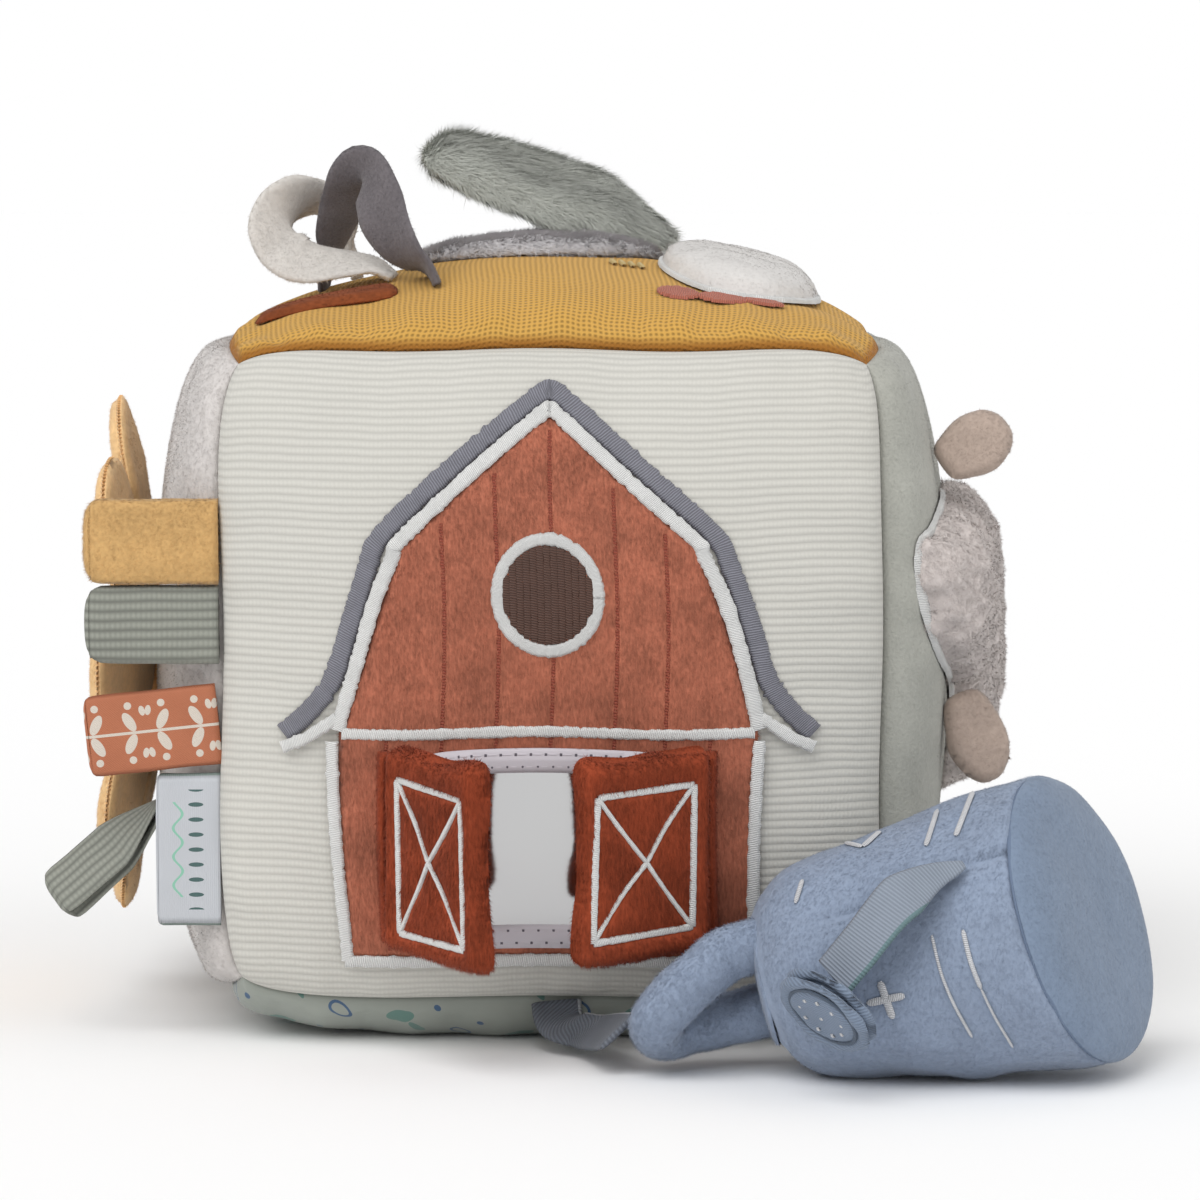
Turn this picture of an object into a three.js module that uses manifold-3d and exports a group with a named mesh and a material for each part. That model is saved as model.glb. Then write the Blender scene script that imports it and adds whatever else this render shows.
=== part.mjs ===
// Soft activity block for a baby: a stuffed fabric block with a barn, a flower, a lamb, a hen,
// seam tabs and a plush watering can on a ribbon.
// Millimetres, +Z up, +X to the right, the barn faces -Y.
// The origin lies on the floor, in the middle of the flat under the block.

import * as THREE from 'three';
import { mergeVertices } from 'three/addons/utils/BufferGeometryUtils.js';
import { TessellateModifier } from 'three/addons/modifiers/TessellateModifier.js';
import Module from 'manifold-3d';

const wasm = await Module();
wasm.setup();

// Driving sizes of the block
const seamHalfX = 66;
const seamHalfY = 66;
const seamHalfZ = 65;
const seamLift = 9;
const cloth = 2;
const gap = 0.35;
const frontCrown = 15;
const backCrown = 17;
const leftCrown = 16;
const rightCrown = 17;
const topCrown = 17;
const bottomCrown = 15;
const crownRoundness = 0.35;
const edgeDrawShare = 0.012;
const cornerDrawShare = 0.06;
const panelSteps = 12;

// Layers sewn on a panel
const sewnLift = 0.5;
const wallThick = 1.2;
const stitchThick = 0.8;
const patchEdge = 13;

// Directions of the six faces: right, up and out of each panel
const axisX = new THREE.Vector3(1, 0, 0);
const axisY = new THREE.Vector3(0, 1, 0);
const axisZ = new THREE.Vector3(0, 0, 1);
const back = (axis) => axis.clone().negate();
const faces = {
  front: { right: axisX, up: axisZ, out: back(axisY), crown: frontCrown },
  back: { right: back(axisX), up: axisZ, out: axisY, crown: backCrown },
  left: { right: back(axisY), up: axisZ, out: back(axisX), crown: leftCrown },
  right: { right: axisY, up: axisZ, out: axisX, crown: rightCrown },
  top: { right: axisX, up: axisY, out: axisZ, crown: topCrown },
  bottom: { right: axisX, up: back(axisY), out: back(axisZ), crown: bottomCrown },
};
const blockHalf = new THREE.Vector3(seamHalfX, seamHalfY, seamHalfZ);
const blockCentre = new THREE.Vector3(0, 0, seamLift + seamHalfZ);
const mitreShare = gap / (Math.SQRT2 * seamHalfX);

// How far the stuffing pushes a panel out, from 0 at its seams to 1 in its middle
const swell = (u, v) => Math.pow(Math.max(0, (1 - u * u) * (1 - v * v)), crownRoundness);

// A point of the block's skin: u and v run from -1 to 1 between the seams of a face
function skinPoint(face, u, v, inset, shrink) {
  const n = face.right.clone().multiplyScalar(u * shrink);
  n.addScaledVector(face.up, v * shrink).add(face.out);
  const q = n.clone().multiply(n);
  const corner = 1 - cornerDrawShare * Math.pow(q.x * q.y * q.z, 3);
  const drawX = 1 - edgeDrawShare * ((1 - q.z) * q.y + (1 - q.y) * q.z);
  const drawY = 1 - edgeDrawShare * ((1 - q.z) * q.x + (1 - q.x) * q.z);
  const drawZ = 1 - edgeDrawShare * ((1 - q.x) * q.y + (1 - q.y) * q.x);
  const p = new THREE.Vector3(
    n.x * (seamHalfX - inset) * drawX * corner,
    n.y * (seamHalfY - inset) * drawY * corner,
    n.z * (seamHalfZ - inset) * drawZ * corner,
  );
  p.addScaledVector(face.out, face.crown * swell(u, v)).add(blockCentre);
  p.z = Math.max(p.z, inset);
  return p;
}

// The place over a panel at s to its right and t up from its middle, h above its skin
function onFace(face, s, t, h) {
  const halfRight = Math.abs(face.right.dot(blockHalf));
  const halfUp = Math.abs(face.up.dot(blockHalf));
  const halfOut = Math.abs(face.out.dot(blockHalf));
  let u = s / halfRight;
  let v = t / halfUp;
  u = s / (halfRight * (1 - edgeDrawShare * (1 - v * v)));
  v = t / (halfUp * (1 - edgeDrawShare * (1 - u * u)));
  const uu = u * u;
  const vv = v * v;
  const draw = 1 - edgeDrawShare * ((1 - uu) * vv + (1 - vv) * uu);
  const out = halfOut * draw + face.crown * swell(u, v);
  const p = blockCentre.clone().addScaledVector(face.right, s).addScaledVector(face.up, t);
  return p.addScaledVector(face.out, out + h);
}

// Closed geometry from points and triangles, turned inside out where asked
function closedGeometry(points, triangles, flip) {
  const geometry = new THREE.BufferGeometry();
  const index = [];
  for (const [a, b, c] of triangles) {
    index.push(a, flip ? c : b, flip ? b : c);
  }
  const flat = points.flatMap((p) => [p.x, p.y, p.z]);
  geometry.setAttribute('position', new THREE.Float32BufferAttribute(flat, 3));
  geometry.setIndex(index);
  return geometry;
}

// Vertices that lie on each other become one
function welded(geometry) {
  geometry.deleteAttribute('normal');
  geometry.deleteAttribute('uv');
  return mergeVertices(geometry);
}

function asSolid(geometry) {
  const g = welded(geometry);
  const vertProperties = new Float32Array(g.getAttribute('position').array);
  const triVerts = new Uint32Array(g.getIndex().array);
  return new wasm.Manifold(new wasm.Mesh({ numProp: 3, vertProperties, triVerts }));
}

function asGeometry(solid) {
  const mesh = solid.getMesh();
  const geometry = new THREE.BufferGeometry();
  geometry.setAttribute('position', new THREE.BufferAttribute(new Float32Array(mesh.vertProperties), 3));
  geometry.setIndex(Array.from(mesh.triVerts));
  return geometry;
}

// Every vertex (x, y, z) moved to place(x, y, z)
function moved(geometry, place, flip) {
  const g = welded(geometry);
  const position = g.getAttribute('position');
  for (let i = 0; i < position.count; i += 1) {
    const p = place(position.getX(i), position.getY(i), position.getZ(i));
    position.setXYZ(i, p.x, p.y, p.z);
  }
  if (flip) {
    const index = Array.from(g.getIndex().array);
    for (let i = 0; i < index.length; i += 3) {
      [index[i + 1], index[i + 2]] = [index[i + 2], index[i + 1]];
    }
    g.setIndex(index);
  }
  return g;
}

// Outlines

const point = (x, y) => new THREE.Vector2(x, y);
const mirrored = (points) => points.map((p) => point(-p.x, p.y)).reverse();

// Unit normal to the right of the way from a to b
function sideOf(a, b) {
  const d = b.clone().sub(a).normalize();
  return point(d.y, -d.x);
}

// A line moved sideways by a distance, with mitred corners; a closed one runs counter-clockwise
function offsetLine(points, distance, closed) {
  const count = points.length;
  return points.map((p, i) => {
    const before = closed || i > 0 ? points[(i + count - 1) % count] : null;
    const after = closed || i < count - 1 ? points[(i + 1) % count] : null;
    const n1 = sideOf(before ?? p, before ? p : after);
    const n2 = sideOf(after ? p : before, after ?? p);
    const n = n1.clone().add(n2).normalize();
    return p.clone().addScaledVector(n, distance / Math.max(n.dot(n1), 0.3));
  });
}

// The outline of a strip of even width along an open line
function stripOutline(points, width) {
  const right = offsetLine(points, width / 2, false);
  const left = offsetLine(points, -width / 2, false);
  return [...right, ...left.reverse()];
}

// Points round an oval; a power over 2 squares its shoulders
function ovalOutline(halfX, halfY, power, count) {
  return Array.from({ length: count }, (_, i) => {
    const a = (2 * Math.PI * i) / count;
    const c = Math.cos(a);
    const s = Math.sin(a);
    return point(
      halfX * Math.sign(c) * Math.pow(Math.abs(c), 2 / power),
      halfY * Math.sign(s) * Math.pow(Math.abs(s), 2 / power),
    );
  });
}

// Points of a smooth closed line through a table of shares
function smoothOutline(shares, sizeX, sizeY, count) {
  const through = shares.map(([x, y]) => new THREE.Vector3(x * sizeX, y * sizeY, 0));
  const curve = new THREE.CatmullRomCurve3(through, true, 'centripetal');
  return curve.getPoints(count).slice(0, count).map((p) => point(p.x, p.y));
}

const shifted = (points, x, y) => points.map((p) => point(p.x + x, p.y + y));

// Builders of soft pieces

// A flat outline, with holes, laid over a panel as a layer of even thickness
function sewnPatch(face, outline, holes, lift, thick) {
  const shape = new THREE.Shape(outline);
  for (const hole of holes) {
    shape.holes.push(new THREE.Path(hole));
  }
  const plate = new THREE.ExtrudeGeometry(shape, { depth: thick, bevelEnabled: false });
  const fine = new TessellateModifier(patchEdge, 7).modify(plate);
  return moved(fine, (s, t, h) => onFace(face, s, t, h + lift), false);
}

// A cushion inside an outline: each ring is [share of the outline, upper height, lower height]
function cushion(outline, rings, place, flip) {
  const count = outline.length;
  const middle = outline.reduce((m, p) => m.add(p), point(0, 0)).divideScalar(count);
  const ringAt = (share, h) => outline.map((p) => {
    const q = middle.clone().lerp(p, share);
    return place(q.x, q.y, h);
  });
  const last = rings[rings.length - 1];
  const points = [place(middle.x, middle.y, last[1])];
  const loops = [...rings.map(([share, upper]) => ringAt(share, upper)).reverse()];
  loops.push(...rings.map(([share, , lower]) => ringAt(share, lower)));
  for (const loop of loops) {
    points.push(...loop);
  }
  points.push(place(middle.x, middle.y, last[2]));
  const triangles = [];
  const end = points.length - 1;
  for (let i = 0; i < count; i += 1) {
    const j = (i + 1) % count;
    triangles.push([0, 1 + i, 1 + j]);
    for (let k = 0; k < loops.length - 1; k += 1) {
      const a = 1 + k * count;
      const b = a + count;
      triangles.push([a + i, b + i, b + j], [a + i, b + j, a + j]);
    }
    const z = 1 + (loops.length - 1) * count;
    triangles.push([end, z + j, z + i]);
  }
  return closedGeometry(points, triangles, flip);
}

// A ribbon along stations {p, w}: p is its middle line and w points across it
function ribbon(stations, width, thick) {
  const count = stations.length;
  const points = [];
  stations.forEach(({ p, w }, i) => {
    const ahead = stations[Math.min(i + 1, count - 1)].p.clone();
    const t = ahead.sub(stations[Math.max(i - 1, 0)].p).normalize();
    const across = w.clone().addScaledVector(t, -w.dot(t)).normalize();
    const n = new THREE.Vector3().crossVectors(t, across);
    for (const [a, b] of [[-0.5, -0.5], [0.5, -0.5], [0.5, 0.5], [-0.5, 0.5]]) {
      points.push(p.clone().addScaledVector(across, a * width).addScaledVector(n, b * thick));
    }
  });
  const triangles = [[0, 2, 1], [0, 3, 2]];
  for (let i = 0; i < count - 1; i += 1) {
    for (let k = 0; k < 4; k += 1) {
      const a = 4 * i + k;
      const b = 4 * i + ((k + 1) % 4);
      triangles.push([a, b, b + 4], [a, b + 4, a + 4]);
    }
  }
  const z = 4 * (count - 1);
  triangles.push([z, z + 1, z + 2], [z, z + 2, z + 3]);
  return closedGeometry(points, triangles, false);
}

// A ribbon folded in half: its ends meet at the seam at x = 0 and its fold lies at x = -length
const foldSteps = 6;
function foldedTab(length, height, layer, rootHalf, foldHalf) {
  const line = [point(0, rootHalf)];
  const centreX = -(length - foldHalf - layer / 2);
  for (let i = 0; i <= foldSteps; i += 1) {
    const a = Math.PI / 2 + (Math.PI * i) / foldSteps;
    line.push(point(centreX + foldHalf * Math.cos(a), foldHalf * Math.sin(a)));
  }
  line.push(point(0, -rootHalf));
  const shape = new THREE.Shape(stripOutline(line, layer));
  const tab = new THREE.ExtrudeGeometry(shape, { depth: height, bevelEnabled: false });
  tab.translate(0, 0, -height / 2);
  return welded(tab);
}

// Materials
const matte = (color) => new THREE.MeshStandardMaterial({ color, roughness: 0.95, metalness: 0 });
const satin = (color) => new THREE.MeshStandardMaterial({ color, roughness: 0.6, metalness: 0 });
const materials = {
  creamWaffle: matte('#e2e0d6'),
  mustardWaffle: matte('#d4a550'),
  fleece: matte('#ded5d2'),
  sageVelvet: matte('#b7bbb2'),
  printedSatin: satin('#aaaca5'),
  backCotton: matte('#d8d4c8'),
  stuffing: matte('#f2f1ec'),
  terracotta: matte('#b96955'),
  rust: matte('#a54b2d'),
  greyThread: satin('#7d7d8a'),
  whiteThread: satin('#e1e1e1'),
  brownThread: satin('#55403a'),
  mirror: new THREE.MeshStandardMaterial({ color: '#d7d7d7', roughness: 0.1, metalness: 1 }),
  binding: satin('#dedcd8'),
  yellowPlush: matte('#e8b873'),
  sageWaffle: matte('#a0a898'),
  rustSatin: satin('#c46444'),
  labelSatin: satin('#d6dbe4'),
  petal: matte('#e2b473'),
  amber: matte('#d79650'),
  creamPlush: matte('#d7d2cd'),
  greyVelvet: matte('#82808a'),
  greyPlush: matte('#a0a49c'),
  whitePlush: matte('#dedcda'),
  comb: satin('#c36e64'),
  wool: matte('#ded0ce'),
  ear: matte('#d6beb6'),
  bluePlush: matte('#8ca0be'),
  blueTwill: satin('#919baf'),
  plastic: new THREE.MeshStandardMaterial({ color: '#e6e6e2', roughness: 0.5, metalness: 0 }),
};

const block = new THREE.Group();
function add(name, geometry, material, parent = block) {
  const mesh = new THREE.Mesh(geometry, material);
  mesh.name = name;
  parent.add(mesh);
  return mesh;
}

// Panels: crowned shells, mitred along the seams

function panelGeometry(face) {
  const n = panelSteps;
  const share = (i) => Math.sin((Math.PI / 2) * ((2 * i) / n - 1));
  const points = [];
  for (const inset of [0, cloth]) {
    for (let j = 0; j <= n; j += 1) {
      for (let i = 0; i <= n; i += 1) {
        points.push(skinPoint(face, share(i), share(j), inset, 1 - mitreShare));
      }
    }
  }
  const at = (layer, i, j) => layer * (n + 1) * (n + 1) + j * (n + 1) + i;
  const triangles = [];
  for (let j = 0; j < n; j += 1) {
    for (let i = 0; i < n; i += 1) {
      const corners = [[i, j], [i + 1, j], [i + 1, j + 1], [i, j + 1]];
      const [a, b, c, d] = corners.map(([x, y]) => at(0, x, y));
      const [e, f, g, h] = corners.map(([x, y]) => at(1, x, y));
      const slant = (i < n / 2) === (j < n / 2);
      if (slant) {
        triangles.push([a, b, c], [a, c, d], [e, g, f], [e, h, g]);
      } else {
        triangles.push([a, b, d], [b, c, d], [e, h, f], [f, h, g]);
      }
    }
    const rims = [
      [at(0, j, 0), at(0, j + 1, 0), at(1, j, 0), at(1, j + 1, 0)],
      [at(0, n, j), at(0, n, j + 1), at(1, n, j), at(1, n, j + 1)],
      [at(0, n - j, n), at(0, n - j - 1, n), at(1, n - j, n), at(1, n - j - 1, n)],
      [at(0, 0, n - j), at(0, 0, n - j - 1), at(1, 0, n - j), at(1, 0, n - j - 1)],
    ];
    for (const [outerA, outerB, innerA, innerB] of rims) {
      triangles.push([outerA, innerA, innerB], [outerA, innerB, outerB]);
    }
  }
  return closedGeometry(points, triangles, false);
}

add('front_panel', panelGeometry(faces.front), materials.creamWaffle);
add('back_panel', panelGeometry(faces.back), materials.backCotton);
add('left_panel', panelGeometry(faces.left), materials.fleece);
add('right_panel', panelGeometry(faces.right), materials.sageVelvet);
add('top_panel', panelGeometry(faces.top), materials.mustardWaffle);
add('bottom_panel', panelGeometry(faces.bottom), materials.printedSatin);

// Stuffing: one soft core with a pocket under the top panel for the squeaker

function coreGeometry(inset) {
  const n = panelSteps;
  const share = (i) => Math.sin((Math.PI / 2) * ((2 * i) / n - 1));
  const points = [];
  const triangles = [];
  for (const face of Object.values(faces)) {
    const start = points.length;
    for (let j = 0; j <= n; j += 1) {
      for (let i = 0; i <= n; i += 1) {
        points.push(skinPoint(face, share(i), share(j), inset, 1));
      }
    }
    for (let j = 0; j < n; j += 1) {
      for (let i = 0; i < n; i += 1) {
        const a = start + j * (n + 1) + i;
        const d = a + n + 1;
        const slant = (i < n / 2) === (j < n / 2);
        if (slant) {
          triangles.push([a, a + 1, d + 1], [a, d + 1, d]);
        } else {
          triangles.push([a, a + 1, d], [a + 1, d + 1, d]);
        }
      }
    }
  }
  return closedGeometry(points, triangles, false);
}

const squeakerRadius = 17;
const squeakerHeight = 9;
const squeakerLip = 2.5;
const squeakerRound = 24;
const pocketDepth = 14;
const coreTop = 2 * seamHalfZ + seamLift + topCrown - cloth - gap;
const pocketFloor = coreTop - pocketDepth;

function disc(radius, low, high, round) {
  const profile = [point(0, low), point(radius, low), point(radius, high), point(0, high)];
  return new THREE.LatheGeometry(profile, round).rotateX(Math.PI / 2);
}

const core = asSolid(coreGeometry(cloth + gap));
const pocket = asSolid(disc(squeakerRadius + gap, pocketFloor, coreTop + pocketDepth, squeakerRound));
add('cube_filling', asGeometry(core.subtract(pocket)), materials.stuffing);

const squeakerProfile = [
  point(0, 0),
  point(squeakerRadius - squeakerLip, 0),
  point(squeakerRadius, squeakerHeight / 2),
  point(squeakerRadius - squeakerLip, squeakerHeight),
  point(0, squeakerHeight),
];
const squeaker = new THREE.LatheGeometry(squeakerProfile, squeakerRound).rotateX(Math.PI / 2);
add('squeaker', welded(squeaker), materials.plastic).position.z = pocketFloor + gap;

// Barn on the front panel; heights are measured from the panel's middle

const trimWidth = 2.4;
const roofBandWidth = 3.8;
const ridgeHalf = 1.2;
const barnApex = 52.4;
const barnKneeHalf = 29.4;
const barnKnee = 26.6;
const barnEaveHalf = 41;
const barnEave = -10.3;
const barnFootHalf = 51.4;
const barnFoot = -10.9;
const barnBaseHalf = 40;
const barnBase = -55.6;

const halfGable = [point(-barnKneeHalf, barnKnee), point(-barnEaveHalf, barnEave)];
const gable = [point(0, barnApex), ...halfGable, ...mirrored(halfGable)];
const wallOutline = [
  point(0, barnApex),
  ...halfGable,
  point(-barnBaseHalf, barnBase),
  point(barnBaseHalf, barnBase),
  ...mirrored(halfGable),
];
add('barn_wall', sewnPatch(faces.front, wallOutline, [], sewnLift, wallThick), materials.terracotta);

const trimLift = sewnLift + wallThick + gap;
const gableOuter = offsetLine(gable, trimWidth / 2, true);
const gableInner = offsetLine(gable, -trimWidth / 2, true);
const eaveOuter = gableOuter[2];
const footTip = point(-barnFootHalf, barnFoot - roofBandWidth / 2);
const footEnd = point(-barnFootHalf, footTip.y - trimWidth);
const footIn = point(eaveOuter.x, eaveOuter.y);
const footOut = point(eaveOuter.x + trimWidth, barnEave + roofBandWidth);
const halfTrim = [gableOuter[1], footOut, footTip, footEnd, footIn];
const gableTrim = [gableOuter[0], ...halfTrim, ...mirrored(halfTrim)];
add(
  'barn_gable_trim',
  sewnPatch(faces.front, gableTrim, [gableInner], trimLift, stitchThick),
  materials.whiteThread,
);

const boxTop = eaveOuter.y - gap;
const boxLine = [
  point(-barnEaveHalf, boxTop),
  point(-barnBaseHalf, barnBase),
  point(barnBaseHalf, barnBase),
  point(barnEaveHalf, boxTop),
];
const boxTrim = stripOutline(boxLine, trimWidth);
add('barn_box_trim', sewnPatch(faces.front, boxTrim, [], trimLift, stitchThick), materials.whiteThread);

const bandLine = offsetLine(gable, (trimWidth + roofBandWidth) / 2 + gap, true);
const halfBand = [
  bandLine[1],
  point(bandLine[2].x, barnEave + 2 * roofBandWidth),
  point(-barnFootHalf, barnFoot + roofBandWidth / 2),
];
const halfRidge = [...halfBand].reverse();
halfRidge.push(point(-ridgeHalf, bandLine[0].y - 1.6 * ridgeHalf));
const roofLine = [...halfRidge, ...mirrored(halfRidge)];
const roofBand = stripOutline(roofLine, roofBandWidth);
add('barn_roof', sewnPatch(faces.front, roofBand, [], sewnLift, wallThick), materials.greyThread);

// Round window: a satin disc in a white ring

const windowHalfX = 11;
const windowHalfZ = 12.4;
const windowRing = 2.4;
const windowRise = 16.4;
const windowRound = 28;
const ringOut = shifted(ovalOutline(windowHalfX, windowHalfZ, 2, windowRound), 0, windowRise);
const ringIn = offsetLine(ringOut, -windowRing, true);
const glassOutline = offsetLine(ringIn, -gap, true);
add(
  'barn_window_ring',
  sewnPatch(faces.front, ringOut, [ringIn], trimLift, stitchThick),
  materials.whiteThread,
);
add('barn_window', sewnPatch(faces.front, glassOutline, [], trimLift, stitchThick), materials.brownThread);

// Soft mirror in a stitched binding

const mirrorHalfX = 23;
const mirrorHalfZ = 14.8;
const bindingWidth = 5;
const bindingThick = 1;
const filmThick = 0.6;
const mirrorDrop = 33.4;
const mirrorSquareness = 7;
const mirrorRound = 32;
const filmOutline = shifted(
  ovalOutline(mirrorHalfX, mirrorHalfZ, mirrorSquareness, mirrorRound),
  0,
  -mirrorDrop,
);
const bindingIn = offsetLine(filmOutline, gap, true);
const bindingOut = shifted(
  ovalOutline(mirrorHalfX + bindingWidth, mirrorHalfZ + bindingWidth, mirrorSquareness, mirrorRound),
  0,
  -mirrorDrop,
);
add('mirror_film', sewnPatch(faces.front, filmOutline, [], trimLift, filmThick), materials.mirror);
add(
  'mirror_binding',
  sewnPatch(faces.front, bindingOut, [bindingIn], trimLift, bindingThick),
  materials.binding,
);

// Barn doors: padded flaps that hang on a sewn fold beside the mirror

const doorWidth = 29.8;
const doorHeight = 41.4;
const doorEdge = 1.8;
const doorRidge = 6;
const doorPanel = 4.4;
const doorMiddleGap = 0.6;
const doorClearance = 0.5;
const doorRise = 1;
const leftDoorOpen = THREE.MathUtils.degToRad(50);
const rightDoorOpen = THREE.MathUtils.degToRad(29);
const doorCentre = doorRise - mirrorDrop;
const doorBack = seamHalfY + frontCrown + trimLift + bindingThick + doorClearance;
const hingeY = -(doorBack + doorEdge);
const hingeX = doorWidth + doorMiddleGap;

// Shares of the door's width from its hinge, and of its height from its middle
const doorOutlineShares = [
  [0.02, -0.455], [0.3, -0.47], [0.62, -0.495], [0.88, -0.5], [0.985, -0.47], [1, -0.4],
  [0.975, -0.25], [0.95, -0.05], [0.95, 0.15], [0.965, 0.3], [0.975, 0.39], [0.95, 0.455],
  [0.86, 0.48], [0.6, 0.47], [0.35, 0.485], [0.12, 0.5], [0.02, 0.49], [0, 0.42],
  [0, 0.2], [0, 0], [0, -0.2], [0, -0.4],
];
const doorRings = [
  [1, doorEdge, 0],
  [0.96, (doorRidge + doorEdge) / 2 + doorEdge / 2, 0],
  [0.88, doorRidge, 0],
  [0.79, doorPanel, 0],
  [0.4, doorPanel, 0],
];
const doorOutline = doorOutlineShares.map(([s, t]) => point(s * doorWidth, t * doorHeight));

const stitchWidth = 1.6;
const stitchDepth = 0.5;
const stitchHalfXShare = 0.29;
const stitchHalfZShare = 0.345;
const stitchMiddle = point(doorWidth / 2, 0);
const stitchCorners = [[-1, -1], [1, -1], [1, 1], [-1, 1]].map(([x, y]) => point(
  stitchMiddle.x + x * stitchHalfXShare * doorWidth,
  stitchMiddle.y + y * stitchHalfZShare * doorHeight,
));

function doorStitching(place, flip) {
  const shape = new THREE.Shape(offsetLine(stitchCorners, stitchWidth / 2, true));
  stitchCorners.forEach((corner, i) => {
    const triangle = [corner, stitchCorners[(i + 1) % stitchCorners.length], stitchMiddle];
    shape.holes.push(new THREE.Path(offsetLine(triangle, -stitchWidth / 2, true)));
  });
  const plate = new THREE.ExtrudeGeometry(shape, { depth: stitchDepth, bevelEnabled: false });
  return moved(plate, (s, t, h) => place(s, t, h + doorPanel + gap), flip);
}

// The side is 1 for the left door, whose flap runs to the right of its hinge, and -1 for the right
function addDoor(name, side, opening) {
  const hinge = new THREE.Group();
  hinge.position.set(-side * hingeX, hingeY, blockCentre.z + doorCentre);
  hinge.rotation.z = -side * opening;
  block.add(hinge);
  const place = (s, t, h) => new THREE.Vector3(side * s, doorEdge - h, t);
  const flip = side < 0;
  add(name, cushion(doorOutline, doorRings, place, flip), materials.rust, hinge);
  add(`${name}_stitching`, doorStitching(place, flip), materials.whiteThread, hinge);
}
addDoor('left_door', 1, leftDoorOpen);
addDoor('right_door', -1, rightDoorOpen);

const foldWidth = 2.4;
const foldHeight = 4.3;
const foldHalf = doorHeight / 2 - doorEdge;
function addDoorFold(name, side) {
  const nearX = hingeX + gap;
  const outline = [
    point(nearX, doorCentre - foldHalf),
    point(nearX + foldWidth, doorCentre - foldHalf),
    point(nearX + foldWidth, doorCentre + foldHalf),
    point(nearX, doorCentre + foldHalf),
  ];
  const sided = side < 0 ? outline : mirrored(outline);
  add(name, sewnPatch(faces.front, sided, [], trimLift, foldHeight), materials.rust);
}
addDoorFold('left_door_fold', 1);
addDoorFold('right_door_fold', -1);

// Folded tabs caught in the left front seam

const tabLength = 26.5;
const yellowTabZ = 100.6;
const yellowTabHeight = 16.8;
const yellowLayer = 1.6;
const yellowFold = 1.5;
const sageTabZ = 84.1;
const sageTabHeight = 15.4;
const sageLayer = 1.2;
const sageFold = 1.2;
const tabRootHalfShare = 0.75;
const tabTuck = 0.45;
function addTab(name, z, length, height, layer, fold, slant, tuck, material) {
  const rootHalf = layer * tabRootHalfShare;
  const tab = add(name, foldedTab(length, height, layer, rootHalf, fold), material);
  tab.position.set(-(seamHalfX - tuck), -(seamHalfY - tuck + fold + layer / 2), z);
  tab.rotation.y = slant;
}
addTab(
  'tab_yellow',
  yellowTabZ,
  tabLength,
  yellowTabHeight,
  yellowLayer,
  yellowFold,
  0,
  tabTuck,
  materials.yellowPlush,
);
addTab('tab_sage', sageTabZ, tabLength, sageTabHeight, sageLayer, sageFold, 0, tabTuck, materials.sageWaffle);
const wovenTabZ = 64.4;
const wovenTabHeight = 16;
const wovenLayer = 0.7;
const wovenFold = 0.9;
const wovenSlant = THREE.MathUtils.degToRad(-6);
const wovenTuck = 0.3;
addTab(
  'tab_woven',
  wovenTabZ,
  tabLength,
  wovenTabHeight,
  wovenLayer,
  wovenFold,
  wovenSlant,
  wovenTuck,
  materials.rustSatin,
);
const labelZ = 39.2;
const labelHeight = 30.4;
const labelLength = 12.8;
const labelLayer = 0.5;
const labelFold = 0.5;
addTab(
  'tab_label',
  labelZ,
  labelLength,
  labelHeight,
  labelLayer,
  labelFold,
  0,
  tabTuck,
  materials.labelSatin,
);

// Flower on the left panel: a padded middle and a ring of petals that lean out to their tips

const flowerDrop = 2;
const flowerMiddleRadius = 15;
const flowerMiddleHeight = 8;
const flowerRound = 20;
const petalCount = 8;
const petalReach = 54;
const petalHalfWidth = 14.6;
const petalThick = 4.4;
const petalEdge = 1.8;
const petalLean = 7;
const middleOutline = ovalOutline(flowerMiddleRadius, flowerMiddleRadius, 2, flowerRound);
const middleRings = [
  [1, petalEdge, 0],
  [0.9, flowerMiddleHeight * 0.7, 0],
  [0.55, flowerMiddleHeight, 0],
];
add(
  'flower_middle',
  cushion(
    middleOutline,
    middleRings,
    (s, t, h) => onFace(faces.left, s, t - flowerDrop, sewnLift + h),
    false,
  ),
  materials.amber,
);

// Shares of the petal's length and of its greatest half width
const petalShares = [
  [0, 0.38], [0.2, 0.62], [0.42, 0.9], [0.62, 1], [0.8, 0.9], [0.94, 0.55], [1, 0],
];
const petalSide = petalShares.slice(0, -1);
const petalRoot = flowerMiddleRadius + gap + sewnLift;
const petalLength = petalReach - petalRoot;
const petalBack = seamHalfX + leftCrown + sewnLift;
const petalOutline = [
  ...petalSide.map(([s, t]) => point(petalRoot + s * petalLength, -t * petalHalfWidth)),
  point(petalReach, 0),
  ...[...petalSide].reverse().map(([s, t]) => point(petalRoot + s * petalLength, t * petalHalfWidth)),
];
const petalRings = [[1, petalEdge, 0], [0.88, petalThick * 0.85, 0], [0.5, petalThick, 0]];
for (let i = 0; i < petalCount; i += 1) {
  const angle = (2 * Math.PI * i) / petalCount;
  const place = (s, t, h) => {
    const spot = point(s, t).rotateAround(point(0, 0), angle);
    const lean = (petalLean * (Math.hypot(s, t) - petalRoot)) / petalLength;
    const out = petalBack + Math.max(lean, 0) + h;
    return new THREE.Vector3(-out, -spot.x, blockCentre.z - flowerDrop + spot.y);
  };
  const colour = i % 2 ? materials.petal : materials.amber;
  add(`petal_${i + 1}`, cushion(petalOutline, petalRings, place, false), colour);
}

// Leaf: a folded loop of waffle cloth that hangs out beside the flower

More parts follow.
